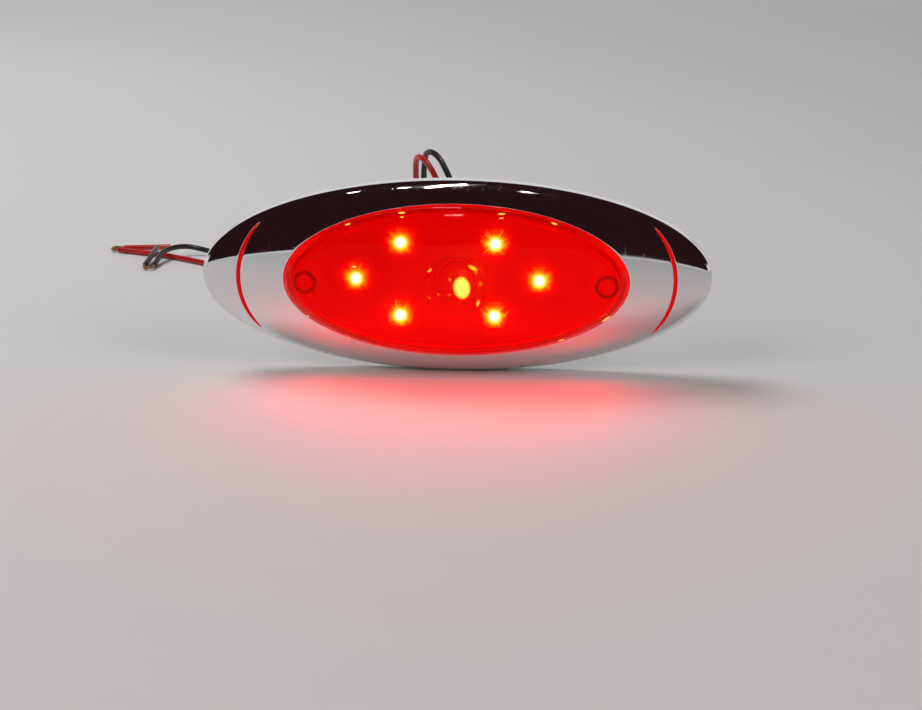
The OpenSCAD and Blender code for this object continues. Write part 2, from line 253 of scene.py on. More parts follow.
def split(tree, vector):
    return addNode(tree, "SeparateXYZ", None, {"Vector": vector}).outputs


def objectPlace(tree):
    return addNode(tree, "TexCoord").outputs["Object"]


def noise(tree, place, scale, detail=2.0):
    return addNode(tree, "TexNoise", None, {"Vector": place, "Scale": scale, "Detail": detail}).outputs["Fac"]


# Goes smoothly from 0 to 1 as value goes from low to high.
def smoothly(tree, value, low, high):
    node = addNode(tree, "MapRange", dict(interpolation_type="SMOOTHSTEP"),
                   {"Value": value, "From Min": low, "From Max": high})
    return node.outputs["Result"]


def mixed(tree, factor, a, b, how="MIX"):
    node = addNode(tree, "Mix", dict(data_type="RGBA", blend_type=how), {0: factor, 6: a, 7: b})
    return node.outputs[2]


def rgb(r, g, b):
    return (r, g, b, 1.0)


noLight = rgb(0.0, 0.0, 0.0)


# A colour ramp through (place, colour) stops.
def ramp(tree, factor, stops, how="LINEAR"):
    node = addNode(tree, "ValToRGB", None, {"Fac": factor})
    node.color_ramp.interpolation = how
    elements = node.color_ramp.elements
    while len(elements) < len(stops):
        elements.new(0.5)
    for element, (at, colour) in zip(elements, stops):
        element.position, element.color = at, colour
    return node.outputs["Color"]


# A node group with named float, vector or colour sockets; fill() builds its inside and returns the outputs.
def makeGroup(name, inputs, outputs, fill):
    group = bpy.data.node_groups.new(name, "ShaderNodeTree")
    for label, kind, value in inputs:
        socket = group.interface.new_socket(name=label, in_out="INPUT", socket_type="NodeSocket" + kind)
        socket.default_value = value
    for label, kind in outputs:
        group.interface.new_socket(name=label, in_out="OUTPUT", socket_type="NodeSocket" + kind)
    entry, leave = group.nodes.new("NodeGroupInput"), group.nodes.new("NodeGroupOutput")
    for label, socket in fill(group, entry.outputs).items():
        group.links.new(socket, leave.inputs[label])
    return group


def useGroup(tree, group, **values):
    node = addNode(tree, "Group")
    node.node_tree = group
    for key, value in values.items():
        giveInput(tree, node.inputs[key], value)
    return node.outputs


# Two sizes of noise on Object coordinates: a coarse one for tone, and a fine one, with 0.6 of it and 0.5 of
# a cell pattern's distance added, for the height of a moulded grain.
def fillGrain(tree, given):
    place = objectPlace(tree)
    coarse = noise(tree, place, given["coarse"], 3.0)
    fine = noise(tree, place, given["fine"])
    cells = addNode(tree, "TexVoronoi", dict(feature="SMOOTH_F1"), {"Vector": place, "Scale": given["fine"]})
    height = plus(tree, times(tree, fine, 0.6), times(tree, cells.outputs["Distance"], 0.5))
    return {"tone": smoothly(tree, coarse, 0.3, 0.7), "height": height}


grain = makeGroup("mouldedGrain", [("coarse", "Float", 60.0), ("fine", "Float", 2500.0)],
                  [("tone", "Float"), ("height", "Float")], fillGrain)


marking = dict(leans=((0.5, (9.0, 260.0, 260.0)), (-0.9, (260.0, 200.0, 12.0))), lineScale=6.0,
               line=(0.66, 0.72), speck=(0.11, 0.05), chosen=(0.72, 0.78), smearScale=28.0,
               smear=(0.42, 0.68), smearRough=0.1, dust=rgb(0.62, 0.6, 0.57))


# Handling marks: long thin hairlines where a noise stretched along two leaning directions is high, specks of
# dust in the middles of some cells of a cell pattern, and broad smears where a coarse noise is high.
def fillMarks(tree, given):
    s, place, lines = marking, objectPlace(tree), []
    for lean, stretch in s["leans"]:
        along = {"Vector": place, "Rotation": (0.2, lean, 0.4), "Scale": stretch}
        leaning = addNode(tree, "Mapping", None, along).outputs[0]
        lines.append(smoothly(tree, noise(tree, leaning, s["lineScale"], 1.0), *s["line"]))
    dust = addNode(tree, "TexVoronoi", None, {"Vector": place, "Scale": given["specks"], "Randomness": 1.0})
    near = smoothly(tree, dust.outputs["Distance"], *s["speck"])
    pick = addNode(tree, "SeparateColor", None, {"Color": dust.outputs["Color"]}).outputs[0]
    return {"hairlines": largest(tree, lines[0], lines[1]),
            "dust": times(tree, near, smoothly(tree, pick, *s["chosen"])),
            "smear": smoothly(tree, noise(tree, place, s["smearScale"], 4.0), *s["smear"])}


marks = makeGroup("handlingMarks", [("specks", "Float", 420.0)],
                  [("hairlines", "Float"), ("dust", "Float"), ("smear", "Float")], fillMarks)


# An empty material, its node tree and its one shader.
def newMaterial(name):
    material = bpy.data.materials.new(name)
    material.use_nodes = True
    tree = material.node_tree
    tree.nodes.clear()
    shader = addNode(tree, "BsdfPrincipled")
    tree.links.new(shader.outputs[0], addNode(tree, "OutputMaterial").inputs["Surface"])
    return material, tree, shader


inputNames = dict(color="Base Color", rough="Roughness", metal="Metallic", ior="IOR", normal="Normal",
                  through="Transmission Weight", coat="Coat Weight", coatRough="Coat Roughness",
                  glow="Emission Color", glowLevel="Emission Strength", spec="Specular IOR Level",
                  specTint="Specular Tint")


# Sets or links the shader's inputs by their short names.
def feed(tree, shader, **values):
    for key, value in values.items():
        giveInput(tree, shader.inputs[inputNames[key]], value)


# The normal of a height that is deep metres deep.
def bumped(tree, height, deep, strength=1.0):
    return addNode(tree, "Bump", None, {"Height": height, "Distance": deep, "Strength": strength}).outputs[0]


# A moulded finish: a base colour with a darker tone in broad patches, a grain, a little dust, and a
# roughness that rises in smears.
def mouldedMaterial(name, color, dark, rough, fine=2500.0, depth=0.00002, specks=420.0, dusty=0.35, **more):
    material, tree, shader = newMaterial(name)
    g = useGroup(tree, grain, coarse=70.0, fine=fine)
    m = useGroup(tree, marks, specks=specks)
    base = mixed(tree, g["tone"], dark, color)
    base = mixed(tree, times(tree, m["dust"], dusty), base, marking["dust"])
    worn = plus(tree, rough, times(tree, m["smear"], marking["smearRough"]))
    feed(tree, shader, color=base, rough=worn, normal=bumped(tree, g["height"], depth), **more)
    return material


# ---- leads ----

leads = dict(diameter=2.0, groundHeight=-31.75, steps=7, bareLength=2.0, foldRadius=1.8,
             sleeveLength=18.0, wires=7, wireRadius=0.2, wireOut=0.38, wireInto=1.2, twist=0.75)
lieHeight = leads["groundHeight"] + leads["diameter"] / 2 + 0.05
overHeight = lieHeight + leads["diameter"] + 0.4
redRoute = [
    [-1.8, 7.5, 6], [-1.8, 11.5, 6.2], [-2.6, 16.5, 9.2], [-4.4, 20.5, 16.5], [-7.2, 23, 24.2],
    [-11.2, 26.5, 30.4], [-14.6, 31.6, 31.2], [-15.4, 36, 25.4], [-15.2, 39.5, 16], [-15.6, 43, 5],
    [-17.2, 47, -7], [-21, 52, -18.5], [-27.5, 59, lieHeight + 3.5], [-37, 68, lieHeight + 0.4],
    [-50, 80, lieHeight], [-65.5, 94, lieHeight], [-82, 108.5, lieHeight], [-99, 122, lieHeight],
    [-116.5, 133, lieHeight], [-135, 140, lieHeight]]
blackRoute = [
    [1.8, 7.5, 6], [1.8, 11.5, 6.2], [1.3, 16.5, 10], [-0.6, 20, 18.2], [-3.6, 23.4, 26.2],
    [-7.6, 28, 32.2], [-11.4, 33.6, 32.4], [-12.7, 38.2, 26.2], [-13, 41.8, 16], [-13.6, 45.5, 5],
    [-15.2, 49.8, -7], [-18.6, 55.5, -18.5], [-24.6, 63.5, lieHeight + 3.5], [-34, 75, lieHeight + 0.4],
    [-47, 91, lieHeight], [-62, 107.5, lieHeight], [-79, 124, lieHeight], [-95.5, 135.5, lieHeight + 0.3],
    [-108.5, 138, overHeight - 0.1], [-116, 130, overHeight], [-118, 118, lieHeight]]


# A smooth line through a route: between points b and c, whose neighbours are a and d, the cubic that
# passes b and c with slopes (c - a) / 2 and (d - b) / 2.
def smoothLine(route, steps):
    p = np.array(route, float)
    p = np.concatenate([p[:1], p, p[-1:]])
    a, b, c, d = (p[k:len(p) - 3 + k, None, :] for k in range(4))
    s = np.linspace(0, 1, steps, endpoint=False)[None, :, None]
    line = 0.5 * (2 * b + (c - a) * s + (2 * a - 5 * b + 4 * c - d) * s**2 + (3 * b - a - 3 * c + d) * s**3)
    return np.concatenate([line.reshape(-1, 3), p[-1:]])


def lineLength(line):
    return float(np.linalg.norm(np.diff(line, axis=0), axis=1).sum())


# A lead's insulation: a curve of one spline with a round section.
def makeLead(name, line, material):
    data = bpy.data.curves.new(name, "CURVE")
    data.dimensions = "3D"
    spline = data.splines.new("POLY")
    spline.points.add(len(line) - 1)
    spline.points.foreach_set("co", np.c_[line * mm, np.ones(len(line))].astype(np.float32).ravel())
    spline.use_smooth = True
    data.bevel_depth = leads["diameter"] / 2 * mm
    data.bevel_resolution = 6
    data.use_fill_caps = True
    data.materials.append(material)
    return addObject(name, data)


# The frame at a lead's end: its tip, the way it points along the ground, and the side to which it folds.
def leadEnd(line):
    way = line[-1] - line[-2]
    way = np.array([way[0], way[1], 0]) / np.hypot(way[0], way[1])
    return line[-1], way, np.array([way[1], -way[0], 0])


# Bare wires twisted round a hairpin line: straight, a half circle of foldRadius, and straight back. They
# start wireInto inside the insulation. Each wire's centre circles the line at wireOut, and its skin circles
# that centre.
def makeStrands(name, line, material, s):
    tip, way, side = leadEnd(line)
    turn = np.linspace(0, np.pi, 36)
    straight = np.linspace(-s["wireInto"], s["bareLength"], 10)[:-1]
    fold = s["foldRadius"]
    along = np.concatenate([straight, s["bareLength"] + fold * np.sin(turn), straight[::-1]])
    out = np.concatenate([0 * straight, fold * (1 - np.cos(turn)), 0 * straight + 2 * fold])
    path = tip + along[:, None] * way + out[:, None] * side
    heading = np.concatenate([0 * straight, turn, 0 * straight + np.pi])
    inward = np.cos(heading)[:, None] * side - np.sin(heading)[:, None] * way
    up = np.array([0, 0, 1.0])
    run = np.concatenate([[0], np.cumsum(np.linalg.norm(np.diff(path, axis=0), axis=1))])
    grids = []
    for k in range(s["wires"]):
        centre = s["wireOut"] if k else 0.0
        spin = run * s["twist"] + 2 * np.pi * k / (s["wires"] - 1)
        core = path + centre * (np.cos(spin)[:, None] * inward + np.sin(spin)[:, None] * up)
        around = wholeTurn(10)[None, :, None]
        radius = np.concatenate([[0], np.full(len(path), s["wireRadius"]), [0]])[:, None, None]
        capped = np.r_[0, 0:len(path), -1]
        core, across = core[capped][:, None, :], inward[capped][:, None, :]
        skin = core + radius * (np.cos(around) * across + np.sin(around) * up)
        grids.append(grid(skin * mm, True))
    return makeMesh(name, grids, [material])


# The short tube of insulation past the fold: a profile of (distance, radius) turned round a straight line
# that leans up by rise and sideways by turn.
def makeSleeve(name, line, material, s, rise, turn):
    tip, way, side = leadEnd(line)
    rise, turn = math.radians(rise), math.radians(turn)
    axis = math.cos(rise) * (math.sin(turn) * side - math.cos(turn) * way) + np.array([0, 0, math.sin(rise)])
    start = tip + 2 * s["foldRadius"] * side
    u = np.cross(axis, [0, 0, 1.0])
    u /= np.linalg.norm(u)
    v = np.cross(axis, u)
    r = s["diameter"] / 2
    length = s["sleeveLength"]
    ends = rounded([[0.5, 0.5], [0, 0.62], [-0.05, r], [length * 0.5, r], [length, r * 0.985], [length, 0.55],
                    [length - 0.4, 0.5]], 0.22)
    ends = np.concatenate([[[0.5, 0]], ends, [[length - 0.4, 0]]])
    around = wholeTurn(28)[None, :, None]
    along, r = ends[:, 0][:, None, None], ends[:, 1][:, None, None]
    skin = start + along * axis + r * (np.cos(around) * u + np.sin(around) * v)
    return makeMesh(name, [grid(skin * mm, True)], [material])


# Flexible PVC: an even colour with a faint mottle, a satin skin with a thin coat over it, whose roughness
# drifts, a very shallow grain, and dust.
pvc = dict(fine=900.0, depth=0.000012, specks=700.0, coat=0.25, coatRough=0.15)
redPvc = mouldedMaterial("redPvc", rgb(0.62, 0.012, 0.012), rgb(0.42, 0.006, 0.008), 0.3, dusty=0.25, **pvc)
blackPvc = mouldedMaterial("blackPvc", rgb(0.022, 0.018, 0.02), rgb(0.01, 0.009, 0.01), 0.32, dusty=0.3,
                           **pvc)


# Copper: metal whose colour goes from bright to a browner and rougher tarnish in patches.
def copperMaterial(s):
    material, tree, shader = newMaterial("copperStrands")
    g = useGroup(tree, grain, coarse=420.0, fine=4000.0)
    color = mixed(tree, g["tone"], s["tarnish"], s["bright"])
    rough = minus(tree, s["rough"], times(tree, g["tone"], s["smoother"]))
    feed(tree, shader, color=color, metal=1.0, rough=rough, normal=bumped(tree, g["height"], 0.00001))
    return material


copper = copperMaterial(dict(bright=rgb(0.86, 0.45, 0.25), tarnish=rgb(0.5, 0.22, 0.11), rough=0.42,
                             smoother=0.16))

# Each lead's colour, route and material, and the rise and turn of its end.
leadKinds = (("red", redRoute, redPvc, 1, 25), ("black", blackRoute, blackPvc, 8, 0))
for color, route, material, rise, turn in leadKinds:
    line = smoothLine(route, leads["steps"])
    lead = makeLead(color + "Lead", line, material)
    place(lead, color + "_pvc", color + "_lead")
    strands = place(makeStrands(color + "Strands", line, copper, leads), "copper", color + "_strands")
    sleeve = makeSleeve(color + "EndSleeve", line, material, leads, rise, turn)
    place(sleeve, color + "_pvc", color + "_end")
    print(color, "lead laid,", round(lineLength(line), 1), "mm")


# ---- the plated bezel ----

bezel = dict(length=165.0, height=63.5, skirt=4.0, crown=9.5, wall=2.0, back=0.5, windowLength=111.0,
             windowHeight=49.8, lip=0.55, backRound=0.45, slotMid=70.5, slotTip=63.4, slotHalf=17.7,
             slotWidth=1.3, slotRound=0.18, slotColumns=180, topColumns=210, seamWithin=0.994)


# Centre and radius of the circle through (mid, 0) and (tip, +-half), with its centre on the x axis.
def arcThrough(mid, tip, half):
    centre = (mid * mid - tip * tip - half * half) / (2 * (mid - tip))
    return centre, mid - centre


# Where points start + t * step first meet the oval about (centreX, 0): the smaller root of a quadratic in
# t.
def meetOval(start, step, centreX, semiX, semiY):
    sx, sy = (start[0] - centreX) / semiX, start[1] / semiY
    vx, vy = step[0] / semiX, step[1] / semiY
    a, b, c = vx * vx + vy * vy, 2 * (sx * vx + sy * vy), sx * sx + sy * sy - 1
    return (-b - np.sqrt(np.maximum(b * b - 4 * a * c, 0))) / (2 * a)


# Half the width of a slot at height y, which narrows gently towards both tips: as the square root of
# 1 - |y / half| ** 3.
def slotSpread(y, width, half):
    return width / 2 * np.sqrt(np.maximum(1 - np.abs(y / half) ** 3, 0))


# Height of half an ellipsoid that stands on base.
def domeHeight(x, y, semiX, semiY, semiD, base):
    return base + semiD * np.sqrt(np.maximum(1 - (x / semiX) ** 2 - (y / semiY) ** 2, 0))


# The bezel, as one skin in two parameters: the angle round the oval, and the way up the skirt, over the
# crown to the window and back along the inside. A column runs straight from the outer oval to the window's
# oval. Where it crosses a slot it stops on both sides of the slot's arc, half a slot's width from it, and
# short walls join the skins there. Between the slots the skins meet on a seam, which lies within the inner
# oval shrunk to seamWithin.
def bezelGrids(s):
    semiX, semiY = s["length"] / 2, s["height"] / 2
    winX, winY = s["windowLength"] / 2, s["windowHeight"] / 2
    inX, inY = semiX - s["wall"], semiY - s["wall"]
    arcX, arcRadius = arcThrough(s["slotMid"], s["slotTip"], s["slotHalf"])

    # the angle whose column passes through a slot's tip
    trial = np.linspace(0.3, 1.0, 4000)
    atTip = (semiX * np.cos(trial) - s["slotTip"]) / ((semiX - winX) * np.cos(trial))
    tipAngle = np.interp(0, (semiY - (semiY - winY) * atTip) * np.sin(trial) - s["slotHalf"], trial)
    ends = tipAngle * np.sin(np.linspace(-np.pi / 2, np.pi / 2, s["slotColumns"] + 1))
    tops = np.linspace(tipAngle, np.pi - tipAngle, s["topColumns"] + 1)
    angle = np.concatenate([ends[:-1], tops[:-1], ends[:-1] + np.pi, tops[:-1] + np.pi])
    inSlot = np.zeros(len(angle), bool)
    inSlot[:s["slotColumns"] + 1] = True
    half = s["slotColumns"] + s["topColumns"]
    inSlot[half:half + s["slotColumns"] + 1] = True

    c, n = np.cos(angle), np.sin(angle)
    flip = np.where(c < 0, -1.0, 1.0)
    outer = (semiX * np.abs(c), semiY * n)
    step = ((winX - semiX) * np.abs(c), (winY - semiY) * n)
    span = np.hypot(*step)
    atMiddle = meetOval(outer, step, arcX, arcRadius, arcRadius)
    crossX, crossY = outer[0] + atMiddle * step[0], outer[1] + atMiddle * step[1]
    square = np.abs((crossX - arcX) * step[0] + crossY * step[1]) / (arcRadius * span)
    spread = slotSpread(crossY, s["slotWidth"], s["slotHalf"]) / (square * span)
    tipAt = float(atMiddle[0])
    folded = np.arccos(np.clip(np.abs(c), 0, 1))
    away = np.clip((folded - tipAngle) / (np.pi / 2 - tipAngle), 0, 1)
    rest = tipAt + (0.5 - tipAt) * np.minimum(1, 3 * away)
    rest = np.maximum(rest, meetOval(outer, step, 0, inX * s["seamWithin"], inY * s["seamWithin"]))
    tips = [0, s["slotColumns"], half, half + s["slotColumns"]]
    spread[tips] = 0
    atOuter = np.where(inSlot, atMiddle - spread, rest)
    atInner = np.where(inSlot, atMiddle + spread, rest)
    cut = np.minimum(s["slotRound"], (atInner - atOuter) * span) / span

    def plan(t):
        return flip * (outer[0] + t * step[0]), outer[1] + t * step[1]

    def crownTop(t):
        x, y = plan(t)
        return x, y, domeHeight(x, y, semiX, semiY, s["crown"], s["skirt"])

    def crownUnder(x, y):
        return x, y, domeHeight(x, y, inX, inY, s["crown"] - s["wall"], s["skirt"])

    def rows(points):
        return np.stack([stand(*p) for p in points])

    # an edge rounded by a quadratic curve from a point on the crown to one on the wall below the corner
    def edge(t0, t1, drop, steps=6):
        a, b = np.stack(crownTop(t0)), np.stack(crownTop(t1))
        below = b - np.stack([0 * drop, 0 * drop, drop])
        k = np.linspace(0, 1, steps)[:, None, None]
        return stand(*np.moveaxis(bend(a, b, below, k), 1, 0))

    even = np.linspace(0, 1, 40)[:, None]
    r = s["backRound"]
    shrink = [(r * (1 - math.sin(q)), s["back"] + r * (1 - math.cos(q))) for q in quarterTurn(6)]
    foot = [((semiX - a) * c, (semiY - a) * n, 0 * c + d) for a, d in shrink]
    skirt = [(semiX * c, semiY * n, 0 * c + d) for d in np.linspace(s["back"] + r, s["skirt"], 8)[1:-1]]
    first = [crownTop((atOuter - cut) * k * k) for k in even[:, 0]]
    outerSkin = rows(foot + skirt + first)

    lip = s["lip"] / span
    second = [crownTop((atInner + cut) * (1 - k) + (1 - lip) * k) for k in np.linspace(0, 1, 30)]
    rim = edge(1 - lip, 1 + 0 * lip, s["lip"] + 0 * lip)
    winPlan, slotPlan = plan(1 + 0 * c), plan(atInner)
    underTwo = [crownUnder(winPlan[0] * (1 - k) + slotPlan[0] * k, winPlan[1] * (1 - k) + slotPlan[1] * k)
                for k in np.linspace(0, 1, 16)]
    crownSkin = np.concatenate([rows(second), rim[1:], rows(underTwo)])

    start = plan(atOuter)
    close = 1 - (1 - np.linspace(0, 1, 24)) ** 2
    underOne = [crownUnder(start[0] * (1 - k) + inX * c * k, start[1] * (1 - k) + inY * n * k) for k in close]
    inside = [(inX * c, inY * n, 0 * c + d) for d in np.linspace(s["skirt"], s["back"] + r, 6)[1:]]
    innerFoot = [((inX + a) * c, (inY + a) * n, 0 * c + d) for a, d in shrink[::-1]]
    bottom = [tuple((1 - k) * a + k * b for a, b in zip(innerFoot[-1], foot[0])) for k in (0.5, 1.0)]
    innerSkin = rows(underOne + inside + innerFoot[1:] + bottom)

    grids = [grid(outerSkin, True), grid(crownSkin, True), grid(innerSkin, True)]
    for low in (0, half):
        columns = slice(low, low + s["slotColumns"] + 1)
        for t, side in ((atOuter, -1), (atInner, 1)):
            corner = edge(t + side * cut, t, cut * span)
            under = rows([crownUnder(*plan(t))])
            middle = corner[-1:] * 0.5 + under * 0.5
            grids.append(grid(np.concatenate([corner, middle, under])[:, columns]))
    return grids


# The ribs inside the skirt that grip the lamp's edge: small blocks, spaced round the oval. At each place
# (x, y) a rib runs from y to a little into the skirt, and one at each end does so along x.
grips = dict(half=1.0, low=0.55, high=3.95, round=0.2, into=0.1, endX=79.15, endHalf=1.4,
             places=[(-30, 25.85), (0, 28.0), (30, 25.85)])


def gripGrids(s, b):
    blocks, shape = [], (s["low"], s["high"], s["round"])
    outX, outY = b["length"] / 2 - b["wall"] + s["into"], b["height"] / 2 - b["wall"] + s["into"]
    for side in (-1, 1):
        for atX, edgeY in s["places"]:
            outside = outY * math.sqrt(1 - (atX / outX) ** 2)
            middle, halfY = side * (edgeY + outside) / 2, (outside - edgeY) / 2 + s["into"]
            blocks.append(block(atX, middle, s["half"], halfY, *shape))
        blocks.append(block(side * s["endX"], 0, s["endHalf"], s["half"], *shape))
    return blocks


# Bright plating over moulded plastic: metal whose roughness rises a little in smears and hairlines, with a
# little dust, over the very shallow waves of the moulding.
def chromeMaterial(s):
    material, tree, shader = newMaterial("brightPlating")
    m = useGroup(tree, marks, specks=s["specks"])
    place = objectPlace(tree)
    wave = noise(tree, place, s["waves"], 1.0)
    color = mixed(tree, times(tree, m["dust"], s["dusty"]), s["bright"], rgb(0.5, 0.49, 0.47))
    rough = plus(tree, s["rough"], times(tree, m["smear"], s["smearRough"]))
    rough = plus(tree, rough, times(tree, m["hairlines"], s["lineRough"]))
    metal = minus(tree, 1.0, times(tree, m["dust"], 0.1))
    feed(tree, shader, color=color, rough=rough, metal=metal, normal=bumped(tree, wave, s["waveDepth"], 0.35))
    return material


chrome = chromeMaterial(dict(bright=rgb(0.8, 0.8, 0.81), rough=0.03, smearRough=0.03, lineRough=0.08,
                             specks=260.0, dusty=0.06, waves=55.0, waveDepth=0.00003))
bezelPiece = place(makeMesh("chromeBezel", bezelGrids(bezel), [chrome]), "chrome", "chrome_bezel", "bezel")
place(makeMesh("bezelGripRibs", gripGrids(grips, bezel), [chrome]), "chrome", None, "bezel")
print("bezel made,", len(bezelPiece.data.polygons), "faces")


# ---- lens ----

lens = dict(length=110.4, height=49.2, wall=2.0, top=18.2, domeLength=200.0, domeHeight=92.0, rollBase=8.9,
            rollTop=15.6, rollLengthOver=2.8, rollHeightOver=1.2, soften=0.22, edge=0.4, rimShare=0.16,
            flangeBack=3.6, flangeFront=5.4, flangeLength=155.0, flangeHeight=55.6, flangeGap=0.02,
            holeX=63.5, holeRadius=5.2, around=320)


# Height of the lens front, drawn in by inset: a shallow dome and a tighter one that rolls over its edge;
# where they meet, the smaller height is taken softly.
def lensHeight(x, y, inset, s):
    low = domeHeight(x, y, s["domeLength"] / 2 - inset, s["domeHeight"] / 2 - inset, s["top"] - inset, 0)
    rollX = (s["length"] + s["rollLengthOver"]) / 2 - inset
    rollY = (s["height"] + s["rollHeightOver"]) / 2 - inset
    roll = domeHeight(x, y, rollX, rollY, s["rollTop"] - inset, s["rollBase"])
    k = s["soften"]
    return -k * np.logaddexp(-low / k, -roll / k)


# The lens shell: ovals that shrink to the middle, lifted to the lens height outside and to the inset
# height inside, with straight side walls and an edge rounded by a quadratic curve. Half of the ovals lie
# close together in the outer rimShare. The UVs hold the distance inwards from the edge, in centimetres,
# and 1 for the outside or 0 for the inside.
def lensGrids(s):
    turn = wholeTurn(s["around"])
    c, n = np.cos(turn), np.sin(turn)

    def skin(inset, low, edge, rows):
        x, y = (s["length"] / 2 - inset) * c, (s["height"] / 2 - inset) * n
        share = 1 - edge / np.hypot(x, y)
        top = lensHeight(x, y, inset, s)
        wall = [(x, y, 0 * x + low), (x, y, (low + top - edge) / 2)]
        a = np.stack([x, y, top - edge])
        b = np.stack([x, y, top])
        e = np.stack([x * share, y * share, lensHeight(x * share, y * share, inset, s)])
        corner = bend(a, b, e, np.linspace(0, 1, 6)[:, None, None])
        even = np.linspace(0, 1, rows)[1:]
        near, far = 1 - s["rimShare"] * even, (1 - s["rimShare"]) * (1 - even)
        dome = [(x * share * g, y * share * g, lensHeight(x * share * g, y * share * g, inset, s))
                for g in np.concatenate([near, far])]
        return np.stack([stand(*p) for p in wall + list(corner) + dome])

    # an oval's edge is (1 - level) / slope away, for the level (x / a) ** 2 + (y / b) ** 2 and its slope
    def inwards(points, outsideFlag):
        x, y, a, b = points[..., 0] / mm, points[..., 2] / mm, s["length"] / 2, s["height"] / 2
        level = (x / a) ** 2 + (y / b) ** 2
        slope = 2 * np.sqrt((x / a**2) ** 2 + (y / b**2) ** 2) + 1e-6
        away = np.clip((1 - level) / slope, 0, 10) / 10
        return np.stack([away, outsideFlag + 0 * away], -1)

    outside = skin(0.0, s["flangeBack"], s["edge"], 36)
    inside = skin(s["wall"], s["flangeBack"], s["edge"], 28)
    rim = np.stack([outside[0], inside[0]])
    return [grid(outside, True, 0, inwards(outside, 1)), grid(inside, True, 0, inwards(inside, 0)),
            grid(rim, True)]


# The flange around the lens: a flat oval ring with rounded edges, its section carried round.
def flangeGrids(s):
    turn = wholeTurn(s["around"])[None, :]
    outX, outY = s["flangeLength"] / 2, s["flangeHeight"] / 2
    inX, inY = s["length"] / 2 + s["flangeGap"], s["height"] / 2 + s["flangeGap"]
    section = np.array([[0, 0], [0.5, 0], [0.985, 0], [1, 0.15], [1, 0.85], [0.985, 1], [0.5, 1], [0, 1],
                        [0, 0.5], [0, 0]])
    share, up = section[:, 0:1], section[:, 1:2]
    d = s["flangeBack"] + up * (s["flangeFront"] - s["flangeBack"])
    x, y = (inX + share * (outX - inX)) * np.cos(turn), (inY + share * (outY - inY)) * np.sin(turn)
    return [grid(stand(x, y, d + 0 * turn), True)]


# Cuts tool's shape out of piece and leaves no live modifier.
def cutOut(piece, tool):
    modifier = piece.modifiers.new("cut", "BOOLEAN")
    modifier.object, modifier.operation, modifier.solver = tool, "DIFFERENCE", "EXACT"
    bpy.context.view_layer.update()
    shape = bpy.data.meshes.new_from_object(piece.evaluated_get(bpy.context.evaluated_depsgraph_get()))
    piece.modifiers.clear()
    piece.data = shape
    bpy.data.objects.remove(tool)
    tidyMesh(shape, 30)


# A light rib, which fills a slot but for a gap: an arc that narrows as the slot does, whose top follows
# the bezel's crown, whose edges are rounded, and whose foot goes into the flange.
def ribGrid(side, s, gap=0.15, foot=0.05):
    half = s["slotHalf"] - gap
    arcX, arcRadius = arcThrough(s["slotMid"], s["slotTip"], s["slotHalf"])
    y = half * np.sin(np.linspace(-np.pi / 2, np.pi / 2, 130))
    along = np.sqrt(arcRadius**2 - y * y)
    spread = slotSpread(y, s["slotWidth"] - 2 * gap, half) * arcRadius / along
    spread[[0, -1]] = 0
    share = np.array([1, 1, 1, 0.93, 0.75, 0.5, 0.25, 0.07, 0, 0, 0, 0.5, 1])[:, None]
    drop = np.array([0, 0, 0.2, 0.07, 0.02, 0, 0.02, 0.07, 0.2, 0, 0, 0, 0])[:, None]
    base = np.array([1, 0.5, 0, 0, 0, 0, 0, 0, 0, 0.5, 1, 1, 1])[:, None]
    x = arcX + along + spread * (2 * share - 1)
    y = y[None, :] + 0 * x
    top = domeHeight(x, y, s["length"] / 2, s["height"] / 2, s["crown"], s["skirt"]) - drop
    low = lens["flangeFront"] - foot
    return grid(stand(side * x, side * y, base * low + (1 - base) * top))


# A lens boss, a tube that stands on the board and runs into the lens wall: a section of (radius, share of
# the height, drop from the top) turned round, with its top below the lens surface by into.
def tubeGrid(atX, s):
    turn = wholeTurn(72)[None, :]
    out, inn = s["outer"], s["inner"]
    section = np.array([[out, 0, 0], [out, 0.5, 0], [out, 1, 0.25], [out - 0.08, 1, 0.07], [out - 0.3, 1, 0],
                        [(out + inn) / 2, 1, 0], [inn + 0.3, 1, 0], [inn + 0.08, 1, 0.07], [inn, 1, 0.25],
                        [inn, 0.5, 0], [inn, 0, 0], [(out + inn) / 2, 0, 0], [out, 0, 0]])
    r, share, drop = section[:, 0:1], section[:, 1:2], section[:, 2:3]
    x, y = atX + r * np.cos(turn), r * np.sin(turn)
    top = lensHeight(x, y, s["into"], lens)
    return grid(stand(x, y, s["low"] + share * (top - s["low"]) - drop), True)


# The six outer LEDs' places, and the middle one's, which is last. An LED is a square body, a dome on a
# short neck, and in the dome the chip, a smaller dome, which gives the light; the three stand a little
# apart.
ledPlaces = [(-18.0, 12.0), (12.4, 12.0), (-32.3, 0.0), (26.7, 0.0), (-18.0, -12.0), (12.4, -12.0),
             (0.0, 0.0)]
ledShape = dict(half=3.8, low=5.8, high=8.4, neck=0.8, dome=2.4, edge=0.35, chip=1.15, apart=0.02)
rayShape = dict(depthShare=0.3, scale=21.0, apart=3.7, start=(1.9, 2.8))


